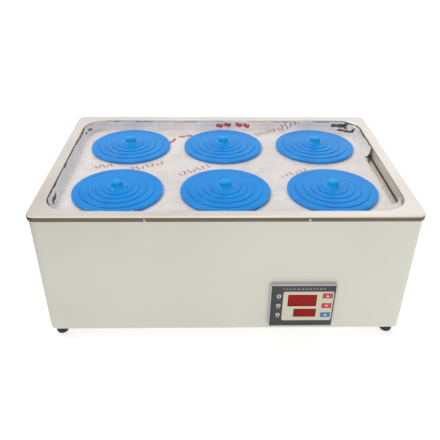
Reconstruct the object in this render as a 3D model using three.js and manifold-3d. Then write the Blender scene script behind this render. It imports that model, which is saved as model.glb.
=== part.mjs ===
// A six-hole laboratory water bath, built as an assembly of separate solids.
// Millimetres, +Z up, +X to the user's right, the user stands on the -Y side.
// The origin is the middle of the footprint at table level.
import * as THREE from "three";
import { mergeVertices } from "three/addons/utils/BufferGeometryUtils.js";
import Module from "manifold-3d";

const wasm = await Module();
wasm.setup();

// ---------------------------------------------------------------- driving dimensions
const HOLE_PITCH = 153; // between hole centres, both ways
const HOLE_R = 60; // holes in the deck plate
const TOP_Z = 206; // top of the rim above the table
const FOOT_H = 15;
const RIM_W = 511;
const RIM_D = 344;
const RIM_LAND = 16; // flat width of the rim, all round
const RIM_R = 12; // outer corner
const RIM_SKIRT = 7; // how far the rim turns down over the casing
const CASE_INSET = 1.6; // casing behind the rim's skirt
const STEEL_T = 1.2;
const GAP = 0.3; // between pieces that touch
const PAST = 4; // how far a cutting body reaches past the wall it goes through
const DECK_DROP = 17; // deck's top face below the rim's
const DECK_FLANGE = 9.5; // deck's edge turned down
const LEDGE_W = 9; // ledge that the deck stands on
const OPENING_R = 38; // corner of the rim's opening
const TANK_FLOOR_Z = 86;
const ROUND = 16; // sides of every round piece in a lid set
const CORNER = 3; // curve divisions of a rounded corner

const BEZEL_PROUD = 5.5; // controller's frame in front of the casing
const BACK_REACH = 200; // tip of the drain, behind the middle of the rim

// ---------------------------------------------------------------- derived places
const CASE_W = RIM_W - 2 * CASE_INSET;
const CASE_D = RIM_D - 2 * CASE_INSET;
const CASE_R = RIM_R - CASE_INSET + 1;
const FACE_Y = -CASE_D / 2; // front face of the casing
const BACK_Y = CASE_D / 2;
const OPEN_W = RIM_W - 2 * RIM_LAND;
const OPEN_D = RIM_D - 2 * RIM_LAND;
const DECK_Z = TOP_Z - DECK_DROP;
const LEDGE_Z = DECK_Z - DECK_FLANGE - GAP; // top of the ledge
const TANK_W = OPEN_W - 2 * LEDGE_W; // inside of the tank
const TANK_D = OPEN_D - 2 * LEDGE_W;
const TANK_R = OPENING_R - LEDGE_W;
const TANK_T = 1;
const TANK_TOP_Z = LEDGE_Z - STEEL_T - GAP;

// ---------------------------------------------------------------- materials
function finish(color, roughness, metalness) {
  return new THREE.MeshStandardMaterial({ color, roughness, metalness });
}

const enamel = finish(0xd8d5c9, 0.45, 0.1);
const steel = finish(0xd9d6d0, 0.25, 1);
const dullSteel = finish(0xb9b8b5, 0.45, 1);
const bluePlastic = finish(0x2f86d8, 0.3, 0);
const rubber = finish(0x151515, 0.7, 0);
const blackPlastic = finish(0x26262a, 0.5, 0);
const silverPlastic = finish(0xb9babd, 0.35, 0.6);
const redLens = finish(0x9c1016, 0.2, 0);
const redPlastic = finish(0xc8323c, 0.4, 0);
const bluePlasticKey = finish(0x2f6fb5, 0.4, 0);
const clearPlastic = finish(0xd8d8dc, 0.2, 0);
const boardGreen = finish(0x1e5c3a, 0.6, 0);
const brass = finish(0xc9a25a, 0.3, 1);
const wool = finish(0xe0cf9a, 0.95, 0);

// ---------------------------------------------------------------- shape helpers
// A closed geometry as a manifold solid: only its positions count, and they are welded.
function toSolid(geometry) {
  const bare = new THREE.BufferGeometry();
  bare.setAttribute("position", geometry.getAttribute("position").clone());
  if (geometry.index) bare.setIndex(geometry.index);
  const welded = mergeVertices(bare, 1e-4);
  const vertProperties = welded.attributes.position.array;
  const triVerts = new Uint32Array(welded.index.array);
  return new wasm.Manifold(new wasm.Mesh({ numProp: 3, vertProperties, triVerts }));
}

function toGeometry(solid) {
  const made = solid.getMesh();
  const geometry = new THREE.BufferGeometry();
  geometry.setAttribute("position", new THREE.BufferAttribute(made.vertProperties, 3));
  geometry.setIndex(new THREE.BufferAttribute(made.triVerts, 1));
  geometry.computeVertexNormals();
  return geometry;
}

const join = (...solids) => solids.reduce((all, next) => all.add(next));
const cut = (body, ...tools) => tools.reduce((left, tool) => left.subtract(tool), body);

function roundedRect(w, h, r, cx = 0, cy = 0) {
  const shape = new THREE.Shape();
  const [x, y] = [w / 2 - r, h / 2 - r];
  shape.absarc(cx + x, cy - y, r, -Math.PI / 2, 0);
  shape.absarc(cx + x, cy + y, r, 0, Math.PI / 2);
  shape.absarc(cx - x, cy + y, r, Math.PI / 2, Math.PI);
  shape.absarc(cx - x, cy - y, r, Math.PI, 1.5 * Math.PI);
  shape.closePath();
  return shape;
}

// A flat shape raised from z0 to z1.
function slab(shape, z0, z1) {
  const depth = z1 - z0;
  const geometry = new THREE.ExtrudeGeometry(shape, { depth, bevelEnabled: false, curveSegments: CORNER });
  return toSolid(geometry.translate(0, 0, z0));
}

function block(x0, x1, y0, y1, z0, z1) {
  const box = new THREE.BoxGeometry(x1 - x0, y1 - y0, z1 - z0);
  return toSolid(box.translate((x0 + x1) / 2, (y0 + y1) / 2, (z0 + z1) / 2));
}

// A shape drawn as seen from the front, x to the right and y up, between two depths yFront < yBack.
function panel(shape, yFront, yBack) {
  const depth = yBack - yFront;
  const geometry = new THREE.ExtrudeGeometry(shape, { depth, bevelEnabled: false, curveSegments: CORNER });
  return toSolid(geometry.rotateX(Math.PI / 2).translate(0, yBack, 0));
}

// A round bar along an axis, from a to b.
function bar(axis, r, a, b, at, sides = 12) {
  const geometry = new THREE.CylinderGeometry(r, r, b - a, sides);
  geometry.translate(0, (a + b) / 2, 0);
  if (axis === "z") geometry.rotateX(Math.PI / 2);
  if (axis === "x") geometry.rotateZ(-Math.PI / 2);
  return toSolid(geometry.translate(...at));
}

// A profile of [radius, height] points turned about the vertical axis.
// It starts and ends on the axis, or closes.
function turned(profile, sides = ROUND) {
  const points = profile.map(([r, z]) => new THREE.Vector2(r, z));
  if (profile[0][0] > 0) points.push(points[0].clone());
  return new THREE.LatheGeometry(points, sides).rotateX(Math.PI / 2);
}

const part = new THREE.Group();
const bath = new THREE.Group(); // in the rim's own frame, whose middle is x = y = 0
bath.position.y = (CASE_D / 2 + BEZEL_PROUD - BACK_REACH) / 2;
part.add(bath);

function place(name, shape, material, at = [0, 0, 0]) {
  const geometry = shape.isBufferGeometry ? shape : toGeometry(shape);
  const mesh = new THREE.Mesh(geometry, material);
  mesh.name = name;
  mesh.position.set(...at);
  bath.add(mesh);
  return mesh;
}

// ---------------------------------------------------------------- controller, shared places
const CONTROL = { x: 107, z: 61, w: 92, h: 76 };
const FACE = { w: 88.5, h: 72.5, t: 1.6 };
const BEZEL_FRONT = FACE_Y - BEZEL_PROUD;
const FACE_FRONT = BEZEL_FRONT + 0.8; // the face lies a little behind the frame
const FACE_BACK = FACE_FRONT + FACE.t;
const HOUSING = { w: 87, h: 72, depth: 18, wall: 1.6 };
const UPPER_WINDOW = { x: -0.6, z: 9.8, w: 40.5, h: 21 };
const LOWER_WINDOW = { x: 4.5, z: -12.7, w: 32, h: 15 };
const KEY = { x: 34.3, w: 14, h: 9, rows: [18, 0.2, -16.8] };
const LAMP = { x: -33.5, r: 1.7, rows: [17.8, 0.8, -16] };

// ---------------------------------------------------------------- back panel, shared places
const INLET = { x: 150, z: 56, w: 80, h: 32, flange: 3, depth: 26 };
const SOCKET = { x: -17, w: 24.6, h: 16.6, depth: 17 };
const ROCKER = { x: 22, w: 13, h: 19, depth: 14, pivotIn: 2.5, tilt: 10 };
const DRAIN = { x: -150, z: 99, wallHole: 7.5 };
const HEATER = { z: 101, r: 4, half: 45, wallHole: 7, bend: -165, tail: 16 };
const PROBE = { y: 100, z: 125, r: 3, reach: 120, wallHole: 5.5 };

// ---------------------------------------------------------------- enclosure
const CASE_FLANGE = 26; // turned in under the base plate, all round
const FOOT_INSET = 14; // a foot's axis behind the casing's faces
const FOOT_X = CASE_W / 2 - FOOT_INSET;
const FOOT_Y = CASE_D / 2 - FOOT_INSET;
const FOOT = { r: 9, stud: 2, hole: 2.8, studTop: FOOT_H + 9 };
const VENT = { count: 5, step: 9, z: 36, length: 90, height: 3.4 };

function footHoles(z0, z1) {
  const corners = [[-1, -1], [-1, 1], [1, -1], [1, 1]];
  return corners.map(([sx, sy]) => bar("z", FOOT.hole, z0, z1, [sx * FOOT_X, sy * FOOT_Y, 0], 8));
}

function casingShell() {
  const top = TOP_Z - STEEL_T - GAP;
  const outside = slab(roundedRect(CASE_W, CASE_D, CASE_R), FOOT_H, top);
  const room = roundedRect(CASE_W - 2 * STEEL_T, CASE_D - 2 * STEEL_T, CASE_R - STEEL_T);
  const inside = slab(room, FOOT_H + STEEL_T, top + PAST);
  const underside = roundedRect(CASE_W - 2 * CASE_FLANGE, CASE_D - 2 * CASE_FLANGE, 6);
  const under = slab(underside, FOOT_H - PAST, FOOT_H + PAST);
  const frontCut = roundedRect(HOUSING.w + 1, HOUSING.h + 1, 2, CONTROL.x, CONTROL.z);
  const window = panel(frontCut, FACE_Y - PAST, FACE_Y + PAST);
  const socketCut = roundedRect(INLET.w - 3, INLET.h - 3, 2, INLET.x, INLET.z);
  const socket = panel(socketCut, BACK_Y - PAST, BACK_Y + PAST);
  const drain = bar("y", DRAIN.wallHole, BACK_Y - PAST, BACK_Y + PAST, [DRAIN.x, 0, DRAIN.z]);
  const vents = [];
  for (let i = 0; i < VENT.count; i++) {
    const z = VENT.z + i * VENT.step;
    vents.push(block(-VENT.length / 2, VENT.length / 2, BACK_Y - PAST, BACK_Y + PAST, z, z + VENT.height));
  }
  const studs = footHoles(FOOT_H - PAST, FOOT_H + PAST);
  return cut(outside, inside, under, window, socket, drain, ...vents, ...studs);
}

const BASE_Z = FOOT_H + STEEL_T + GAP;
const BASE_T = 1.5;
const BASE_PLAY = 0.6; // between the base plate's edge and the casing's walls
const BASE_SLOT = { xs: [-150, -90, -30, 30], y: 70, length: 40, width: 5 };

function basePlate() {
  const edge = 2 * (STEEL_T + BASE_PLAY);
  const [below, above] = [BASE_Z - 1, BASE_Z + BASE_T + 1];
  const plate = slab(roundedRect(CASE_W - edge, CASE_D - edge, CASE_R - 2), BASE_Z, BASE_Z + BASE_T);
  const [half, halfWidth] = [BASE_SLOT.length / 2, BASE_SLOT.width / 2];
  const slots = [];
  for (const x of BASE_SLOT.xs)
    for (const y of [-BASE_SLOT.y, BASE_SLOT.y])
      slots.push(block(x - half, x + half, y - halfWidth, y + halfWidth, below, above));
  return cut(plate, ...slots, ...footHoles(below, above));
}

function topFrame() {
  const skirtZ = TOP_Z - RIM_SKIRT;
  const t = STEEL_T;
  const lid = slab(roundedRect(RIM_W, RIM_D, RIM_R), skirtZ, TOP_Z);
  const hollow = slab(roundedRect(RIM_W - 2 * t, RIM_D - 2 * t, RIM_R - t), skirtZ - PAST, TOP_Z - t);
  const well = slab(roundedRect(OPEN_W + 2 * t, OPEN_D + 2 * t, OPENING_R + t), LEDGE_Z - t, TOP_Z - t / 2);
  const opening = slab(roundedRect(OPEN_W, OPEN_D, OPENING_R), LEDGE_Z, TOP_Z + PAST);
  const throat = slab(roundedRect(TANK_W, TANK_D, TANK_R), LEDGE_Z - PAST, LEDGE_Z + PAST);
  return cut(join(cut(lid, hollow), well), opening, throat);
}

const TANK_FLANGE = 7; // turned out under the rim's ledge
const TANK_SIDE = TANK_W / 2;
const TANK_BACK = TANK_D / 2;

function bathTank() {
  const t = TANK_T;
  const brim = roundedRect(TANK_W + 2 * TANK_FLANGE, TANK_D + 2 * TANK_FLANGE, TANK_R + TANK_FLANGE);
  const flange = slab(brim, TANK_TOP_Z - t, TANK_TOP_Z);
  const outline = roundedRect(TANK_W + 2 * t, TANK_D + 2 * t, TANK_R + t);
  const tub = slab(outline, TANK_FLOOR_Z, TANK_TOP_Z - t / 2);
  const water = slab(roundedRect(TANK_W, TANK_D, TANK_R), TANK_FLOOR_Z + t, TANK_TOP_Z + PAST);
  const sideHole = (r, y, z) => bar("x", r, TANK_SIDE - PAST, TANK_SIDE + PAST, [0, y, z]);
  const heater = [-1, 1].map((s) => sideHole(HEATER.wallHole, s * HEATER.half, HEATER.z));
  const probe = sideHole(PROBE.wallHole, PROBE.y, PROBE.z);
  const drain = bar("y", DRAIN.wallHole, TANK_BACK - PAST, TANK_BACK + PAST, [DRAIN.x, 0, DRAIN.z]);
  return cut(join(flange, tub), water, ...heater, probe, drain);
}

// The jacket starts above the heater's fittings and the drain, and leaves room for the probe's fitting.
const JACKET = { low: TANK_FLOOR_Z + 30, high: TANK_TOP_Z - 6, space: 1.5, thick: 13, cornerR: 38, room: 10 };

function insulationJacket() {
  const { low, high, space, thick, cornerR, room } = JACKET;
  const inset = TANK_T + space;
  const outer = roundedRect(TANK_W + 2 * (inset + thick), TANK_D + 2 * (inset + thick), cornerR);
  const inner = roundedRect(TANK_W + 2 * inset, TANK_D + 2 * inset, TANK_R + inset);
  const right = TANK_SIDE + inset + thick + PAST;
  const probe = block(TANK_SIDE, right, PROBE.y - room, PROBE.y + room, PROBE.z - room, PROBE.z + room);
  return cut(slab(outer, low, high), slab(inner, low - PAST, high + PAST), probe);
}

place("casing_shell", casingShell(), enamel);
place("base_plate", basePlate(), dullSteel);
place("top_frame", topFrame(), steel);
place("bath_tank", bathTank(), steel);
place("insulation_jacket", insulationJacket(), wool);

// rubber feet, each moulded round a stud that goes up through the casing and the base plate
const FOOT_PROFILE = [[0, 0], [7.2, 0], [8.6, 1.6], [FOOT.r, FOOT_H - GAP], [FOOT.stud, FOOT_H - GAP]];
FOOT_PROFILE.push([FOOT.stud, FOOT.studTop], [0, FOOT.studTop]);
for (const [side, sx] of [["left", -1], ["right", 1]])
  for (const [end, sy] of [["front", -1], ["back", 1]]) {
    place(`foot_${end}_${side}`, turned(FOOT_PROFILE), rubber, [sx * FOOT_X, sy * FOOT_Y, 0]);
  }

// ---------------------------------------------------------------- deck and lids
const COLUMNS = [["left", -1], ["middle", 0], ["right", 1]];
const ROWS = [["back", 1], ["front", -1]];
const HOLES = ROWS.flatMap(([row, j]) =>
  COLUMNS.map(([column, i]) => ({ name: `${row}_${column}`, x: i * HOLE_PITCH, y: (j * HOLE_PITCH) / 2 })),
);

const DECK_PLAY = 1.5; // between the deck's edge and the opening's walls
const COLLAR = 5; // depth of the collar pressed down round each hole

function deckPlate() {
  const [w, d, r, t] = [OPEN_W - 2 * DECK_PLAY, OPEN_D - 2 * DECK_PLAY, OPENING_R - DECK_PLAY, STEEL_T];
  const tray = slab(roundedRect(w, d, r), DECK_Z - DECK_FLANGE, DECK_Z);
  const under = slab(roundedRect(w - 2 * t, d - 2 * t, r - t), DECK_Z - DECK_FLANGE - PAST, DECK_Z - t);
  const round = (radius, low, high) => HOLES.map((h) => bar("z", radius, low, high, [h.x, h.y, 0], ROUND));
  const collars = round(HOLE_R + t, DECK_Z - COLLAR, DECK_Z - t / 2);
  const holes = round(HOLE_R, DECK_Z - DECK_FLANGE - PAST, DECK_Z + PAST);
  return cut(join(cut(tray, under), ...collars), ...holes);
}

place("deck_plate", deckPlate(), steel);

// A lid set is four nested rings and a cap. Each ring's flange lies in the rebate of the next larger one.
const RING_R = [64.5, 52.5, 41, 31]; // outer radius of each ring's flange
const CAP_R = 21.5;
const FIT = 0.4; // radial play between nested pieces
const LEDGE_IN = 4.6; // width of the rebate's ledge
const TOPS = [4.6, 5.6, 6.6, 7.6, 8.6]; // top faces above the deck, the outer ring first
const FLANGE_T = 2.1;
const LEDGE_T = 1.6;
const LIP_PLAY = 0.8; // between the outer ring's lip and the hole it hangs in
const LIP_T = 3.2;

// the knob's [radius, height] above the cap's top face
const KNOB = [[18, 0], [12.2, 1], [10.2, 2.8], [9.7, 6], [8.4, 8.6], [5.2, 10], [0, 10.4]];

// How a ring's rebate and opening follow from the piece that lies in it.
function ringPlan(k) {
  const inner = [...RING_R, CAP_R][k + 1];
  const rebateR = inner + FIT;
  return { rebateR, openR: rebateR - LEDGE_IN, seatZ: TOPS[k + 1] - FLANGE_T - GAP };
}

function ringProfile(k) {
  const { rebateR, openR, seatZ } = ringPlan(k);
  const top = TOPS[k];
  const out = RING_R[k];
  const low = seatZ - LEDGE_T;
  const inside = [[rebateR, top], [rebateR, seatZ], [openR, seatZ], [openR, low]];
  if (k === 0) {
    const [lipOut, lipIn, lipZ] = [HOLE_R - LIP_PLAY, HOLE_R - LIP_PLAY - LIP_T, -COLLAR];
    return [[lipIn, low], [lipIn, lipZ], [lipOut, lipZ], [lipOut, GAP], [out, GAP], [out, top], ...inside];
  }
  const under = ringPlan(k - 1).seatZ + GAP;
  const lipR = ringPlan(k - 1).openR - FIT;
  return [[lipR, low], [lipR, under], [out, under], [out, top], ...inside];
}

function capProfile() {
  const last = RING_R.length - 1;
  const plan = ringPlan(last);
  const [under, top, lipR] = [plan.seatZ + GAP, TOPS[last + 1], plan.openR - FIT];
  const knob = KNOB.map(([r, z]) => [r, top + z]);
  const lip = [[0, under - LEDGE_T], [lipR, under - LEDGE_T], [lipR, under]];
  return [...lip, [CAP_R, under], [CAP_R, top], ...knob];
}

for (const hole of HOLES) {
  RING_R.forEach((_, k) => {
    place(`ring_${k + 1}_${hole.name}`, turned(ringProfile(k)), bluePlastic, [hole.x, hole.y, DECK_Z]);
  });
  place(`cap_${hole.name}`, turned(capProfile()), bluePlastic, [hole.x, hole.y, DECK_Z]);
}

// ---------------------------------------------------------------- inside the tank
const SHELF = { w: 430, d: 270, top: 121, t: 1.2, columns: 7, rows: 4, step: 58, holeR: 10 };

function perforatedShelf() {
  const { w, d, top, t, columns, rows, step, holeR } = SHELF;
  const floor = TANK_FLOOR_Z + TANK_T + GAP;
  const tray = block(-w / 2, w / 2, -d / 2, d / 2, floor, top);
  const under = block(-w, w, -d / 2 + t, d / 2 - t, floor - PAST, top - t);
  const holes = [];
  for (let i = 0; i < columns; i++)
    for (let j = 0; j < rows; j++) {
      const spot = [(i - (columns - 1) / 2) * step, (j - (rows - 1) / 2) * step, 0];
      holes.push(bar("z", holeR, top - PAST, top + PAST, spot, 6));
    }
  return cut(tray, under, ...holes);
}

place("perforated_shelf", perforatedShelf(), dullSteel);

// The heater is one long U of tube whose two ends leave through the right-hand wall of the tank.
function heaterTube() {
  const { half, r, z, bend } = HEATER;
  const end = TANK_SIDE + HEATER.tail;
  const path = new THREE.CurvePath();
  path.add(new THREE.LineCurve3(new THREE.Vector3(end, -half, z), new THREE.Vector3(bend, -half, z)));
  const corner = half * (4 / 3) * Math.tan(Math.PI / 8);
  const spot = (x, y) => new THREE.Vector3(x, y, z);
  const tip = spot(bend - half, 0);
  const front = [spot(bend, -half), spot(bend - corner, -half), spot(bend - half, -corner), tip];
  const back = [tip, spot(bend - half, corner), spot(bend - corner, half), spot(bend, half)];
  path.add(new THREE.CubicBezierCurve3(...front));
  path.add(new THREE.CubicBezierCurve3(...back));
  path.add(new THREE.LineCurve3(spot(bend, half), spot(end, half)));
  const section = new THREE.Shape().absarc(0, 0, r, 0, 2 * Math.PI);
  return toSolid(new THREE.ExtrudeGeometry(section, { steps: 40, extrudePath: path, curveSegments: 3 }));
}

place("heater_tube", heaterTube(), dullSteel);

// A bulkhead fitting on the tank's right-hand wall: a flange inside, a neck through the wall
// and a hexagon outside.
function wallFitting({ neckR, flangeR, flangeT, hexR, length }) {
  const axis = [0, 0, 0];
  const neck = bar("x", neckR, TANK_SIDE - flangeT / 2, TANK_SIDE + PAST, axis);
  const flange = bar("x", flangeR, TANK_SIDE - flangeT, TANK_SIDE - GAP, axis);
  const hex = bar("x", hexR, TANK_SIDE + TANK_T + GAP, TANK_SIDE + length, axis, 6);
  return join(neck, flange, hex);
}

function heaterGland() {
  const fitting = wallFitting({ neckR: 6.4, flangeR: 10, flangeT: 3.5, hexR: 12, length: 11 });
  return cut(fitting, bar("x", HEATER.r + 0.5, TANK_SIDE - 3 * PAST, TANK_SIDE + 8 * PAST, [0, 0, 0]));
}

place("heater_gland_front", heaterGland(), brass, [0, -HEATER.half, HEATER.z]);
place("heater_gland_back", heaterGland(), brass, [0, HEATER.half, HEATER.z]);

function temperatureProbe() {
  const tipX = TANK_SIDE - PROBE.reach;
  const rod = bar("x", PROBE.r, tipX, TANK_SIDE + 8, [0, 0, 0], 10);
  const tip = bar("x", PROBE.r - 0.8, tipX - 2, tipX + 1, [0, 0, 0], 10);
  return join(rod, tip, wallFitting({ neckR: 5, flangeR: 7.5, flangeT: 3, hexR: 8, length: 9 }));
}

place("temperature_probe", temperatureProbe(), dullSteel, [0, PROBE.y, PROBE.z]);

// ---------------------------------------------------------------- controller
const at = (x, z) => [CONTROL.x + x, CONTROL.z + z];

function controllerBezel() {
  const outline = roundedRect(CONTROL.w, CONTROL.h, 2.5, CONTROL.x, CONTROL.z);
  const outer = panel(outline, BEZEL_FRONT, FACE_Y - GAP);
  const through = roundedRect(HOUSING.w - 2, HOUSING.h - 2, 1.5, CONTROL.x, CONTROL.z);
  const rebate = roundedRect(FACE.w + 2 * GAP, FACE.h + 2 * GAP, 1.5, CONTROL.x, CONTROL.z);
  const tunnel = panel(through, BEZEL_FRONT - PAST, FACE_Y + PAST);
  return cut(outer, tunnel, panel(rebate, BEZEL_FRONT - PAST, FACE_BACK + GAP));
}

function lampBars(r, yFront, yBack) {
  return LAMP.rows.map((row) => {
    const [x, z] = at(LAMP.x, row);
    return bar("y", r, yFront, yBack, [x, 0, z], 12);
  });
}

function controllerFace() {
  const plate = panel(roundedRect(FACE.w, FACE.h, 1.2, CONTROL.x, CONTROL.z), FACE_FRONT, FACE_BACK);
  const [before, behind] = [FACE_FRONT - PAST, FACE_BACK + PAST];
  const window = ({ x, z, w, h }) => panel(roundedRect(w, h, 0.8, ...at(x, z)), before, behind);
  const keys = KEY.rows.map((z) => window({ x: KEY.x, z, w: KEY.w, h: KEY.h }));
  const lamps = lampBars(LAMP.r + GAP, before, behind);
  return cut(plate, window(UPPER_WINDOW), window(LOWER_WINDOW), ...keys, ...lamps);
}

// A display's red filter, with its flange behind the face.
const FILTER_BACK = FACE_BACK + 2;

function displayWindow({ x, z, w, h }) {
  const glass = panel(roundedRect(w - 0.8, h - 0.8, 0.6, ...at(x, z)), FACE_FRONT + 0.4, FILTER_BACK);
  const flange = panel(roundedRect(w + 2, h + 2, 0.6, ...at(x, z)), FACE_BACK + GAP, FILTER_BACK);
  return join(glass, flange);
}

const KEY_PROUD = 0.5;
const KEY_TRAVEL = 0.8;
const KEY_STEM = 4; // side of the square stem
const KEY_CLEAR = 0.8; // the key in its hole, both sides together

// A key stands proud of the face and is held by a flange behind it.
function key(row) {
  const { w, h } = KEY;
  const middle = at(KEY.x, row);
  const front = FACE_FRONT - KEY_PROUD;
  const cap = panel(roundedRect(w - KEY_CLEAR, h - KEY_CLEAR, 1, ...middle), front, FACE_BACK + 2);
  const flange = panel(roundedRect(w + 1.6, h + 1.6, 1, ...middle), FACE_BACK + GAP, FACE_BACK + 1.3);
  const square = roundedRect(KEY_STEM, KEY_STEM, 0.8, ...middle);
  const stem = panel(square, FACE_BACK + 1, FACE_BACK + 4 - KEY_TRAVEL);
  return join(cap, flange, stem);
}

function lightPipe() {
  const [stripW, stripH, stripT] = [5, 42, 3];
  const middle = at(LAMP.x, LAMP.rows[1]);
  const strip = panel(roundedRect(stripW, stripH, 1, ...middle), FACE_BACK + GAP, FACE_BACK + stripT);
  return join(strip, ...lampBars(LAMP.r - 0.1, FACE_FRONT + 0.3, FACE_BACK + 1));
}

const BOARD = { y: FACE_BACK + 4.4, t: 1.6, inset: 3 };

// The board carries the two blocks of digits, which end just behind the filters.
function displayBoard() {
  const { y, t, inset } = BOARD;
  const outline = roundedRect(HOUSING.w - 2 * inset, HOUSING.h - 2 * inset, 1, CONTROL.x, CONTROL.z);
  const digits = [UPPER_WINDOW, LOWER_WINDOW].map(({ x, z, w, h }) =>
    panel(roundedRect(w - 3, h - 2, 0.5, ...at(x, z)), FILTER_BACK + GAP, y + t / 2),
  );
  return join(panel(outline, y, y + t), ...digits);
}

function controllerHousing() {
  const { w, h, depth, wall } = HOUSING;
  const tray = panel(roundedRect(w, h, 2, CONTROL.x, CONTROL.z), FACE_Y + GAP, FACE_Y + depth);
  const room = roundedRect(w - 2 * wall, h - 2 * wall, 1, CONTROL.x, CONTROL.z);
  return cut(tray, panel(room, FACE_Y - PAST, FACE_Y + depth - wall));
}

place("controller_bezel", controllerBezel(), silverPlastic);
place("controller_face", controllerFace(), blackPlastic);
place("display_window_upper", displayWindow(UPPER_WINDOW), redLens);
place("display_window_lower", displayWindow(LOWER_WINDOW), redLens);
place("button_up", key(KEY.rows[0]), redPlastic);
place("button_down", key(KEY.rows[1]), redPlastic);
place("button_set", key(KEY.rows[2]), bluePlasticKey);
place("indicator_light_pipe", lightPipe(), clearPlastic);
place("display_board", displayBoard(), boardGreen);
place("controller_housing", controllerHousing(), blackPlastic);

// ---------------------------------------------------------------- power board under the tank
function powerBoard() {
  const [x0, x1, y0, y1] = [40, 160, -110, -20];
  const [pillarH, boardT, pillarR, pillarIn] = [5, 1.6, 3, 6];
  const z = BASE_Z + BASE_T + GAP;
  const top = z + pillarH + boardT;
  const board = block(x0, x1, y0, y1, z + pillarH, top);
  const pillars = [];
  const seat = top - boardT / 2;
  for (const x of [x0 + pillarIn, x1 - pillarIn])
    for (const y of [y0 + pillarIn, y1 - pillarIn]) pillars.push(bar("z", pillarR, z, seat, [x, y, 0], 8));
  const transformer = block(50, 88, -62, -30, seat, top + 31.4);
  const relay = block(100, 128, -60, -40, seat, top + 19.4);
  const terminals = block(50, 120, -106, -94, seat, top + 11.4);
  const sink = block(134, 150, -90, -50, seat, top + 27.4);
  return join(board, ...pillars, transformer, relay, terminals, sink);
}

place("power_board", powerBoard(), boardGreen);

// ---------------------------------------------------------------- mains inlet and rocker switch, on the back
// Seen from the front through the casing, so its socket is at -x of its middle.
function powerInlet() {
  const { x, z, w, h, flange, depth } = INLET;
  const front = BACK_Y + GAP;
  const face = front + flange;
  const plate = panel(roundedRect(w, h, 3, x, z), front, face);
  const body = panel(roundedRect(w - 4, h - 4, 2, x, z), face - depth, front + flange / 2);
  const mouth = panel(roundedRect(SOCKET.w, SOCKET.h, 2, x + SOCKET.x, z), face - SOCKET.depth, face + PAST);
  const well = panel(roundedRect(ROCKER.w, ROCKER.h, 1, x + ROCKER.x, z), face - ROCKER.depth, face + PAST);
  return cut(join(plate, body), mouth, well);
}

place("power_inlet", powerInlet(), blackPlastic);

// The rocker's face is a shallow V, and it lies tilted at rest, with the switch off.
function rocker() {
  const [halfH, proud, deep, dip, rootHalf] = [8.6, 3.4, 6, 1.2, 4];
  const side = new THREE.Shape();
  side.moveTo(-halfH, -deep / 3);
  side.lineTo(-rootHalf, -deep);
  side.lineTo(rootHalf, -deep);
  side.lineTo(halfH, -deep / 3);
  side.lineTo(halfH, proud);
  side.lineTo(0, proud - dip);
  side.lineTo(-halfH, proud);
  side.closePath();
  const width = ROCKER.w - 1;
  const geometry = new THREE.ExtrudeGeometry(side, { depth: width, bevelEnabled: false });
  geometry.translate(0, 0, -width / 2);
  // the shape's x becomes up, its y becomes out of the back and its depth runs along x
  const turn = new THREE.Matrix4().set(0, 0, 1, 0, 0, 1, 0, 0, -1, 0, 0, 0, 0, 0, 0, 1);
  return geometry.applyMatrix4(turn);
}

const ROCKER_AT = [INLET.x + ROCKER.x, BACK_Y + GAP + INLET.flange - ROCKER.pivotIn, INLET.z];
const placedRocker = place("rocker_switch", rocker(), blackPlastic, ROCKER_AT);
placedRocker.rotation.x = -THREE.MathUtils.degToRad(ROCKER.tilt);

// ---------------------------------------------------------------- drain
const VALVE_Y = BACK_Y + 12;
const VALVE = { boreR: 3.9, bodyR: 10, bodyHalf: 9, stemTop: 11, ball: 4 };

function drainValve() {
  const { boreR, bodyR, bodyHalf, stemTop, ball } = VALVE;
  const along = (r, a, b, sides) => bar("y", r, a, b, [0, 0, 0], sides);
  const flange = along(10, TANK_BACK - 3, TANK_BACK - GAP);
  const neck = along(6.8, TANK_BACK - 2, TANK_BACK + PAST);
  const nut = along(11, TANK_BACK + TANK_T + GAP, TANK_BACK + 7, 6);
  const pipe = along(6.2, TANK_BACK + 6, VALVE_Y);
  const hexagon = along(bodyR, VALVE_Y - bodyHalf, VALVE_Y + bodyHalf, 6);
  const spout = along(5.8, VALVE_Y + bodyHalf - 1, BACK_REACH - 1);
  const barb = along(6.4, BACK_REACH - 5, BACK_REACH - 2);
  const mouth = along(5.2, BACK_REACH - 3, BACK_REACH);
  const stem = bar("z", 3, 0, stemTop, [0, VALVE_Y, 0]);
  const outlet = along(boreR, VALVE_Y + ball, BACK_REACH + PAST);
  const intake = along(boreR, TANK_BACK - 2 * PAST, VALVE_Y - ball);
  return cut(join(flange, neck, nut, pipe, hexagon, spout, barb, mouth, stem), outlet, intake);
}

place("drain_valve", drainValve(), brass, [DRAIN.x, 0, DRAIN.z]);

// Closed at rest: the lever lies across the pipe.
function drainLever() {
  const [reach, halfW, hubH, low, high] = [38, 3.5, 5, 1.5, 4];
  const z = VALVE.stemTop + GAP;
  const hub = bar("z", 6, z, z + hubH, [0, 0, 0]);
  const arm = block(0, reach, -halfW, halfW, z + low, z + high);
  const end = bar("z", 5, z + low, z + high, [reach, 0, 0]);
  return join(hub, arm, end);
}

place("drain_lever", drainLever(), redPlastic, [DRAIN.x, VALVE_Y, DRAIN.z]);

export default part;
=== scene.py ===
import math
import random

import bmesh
import bpy
from mathutils import Matrix, Vector, noise


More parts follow.
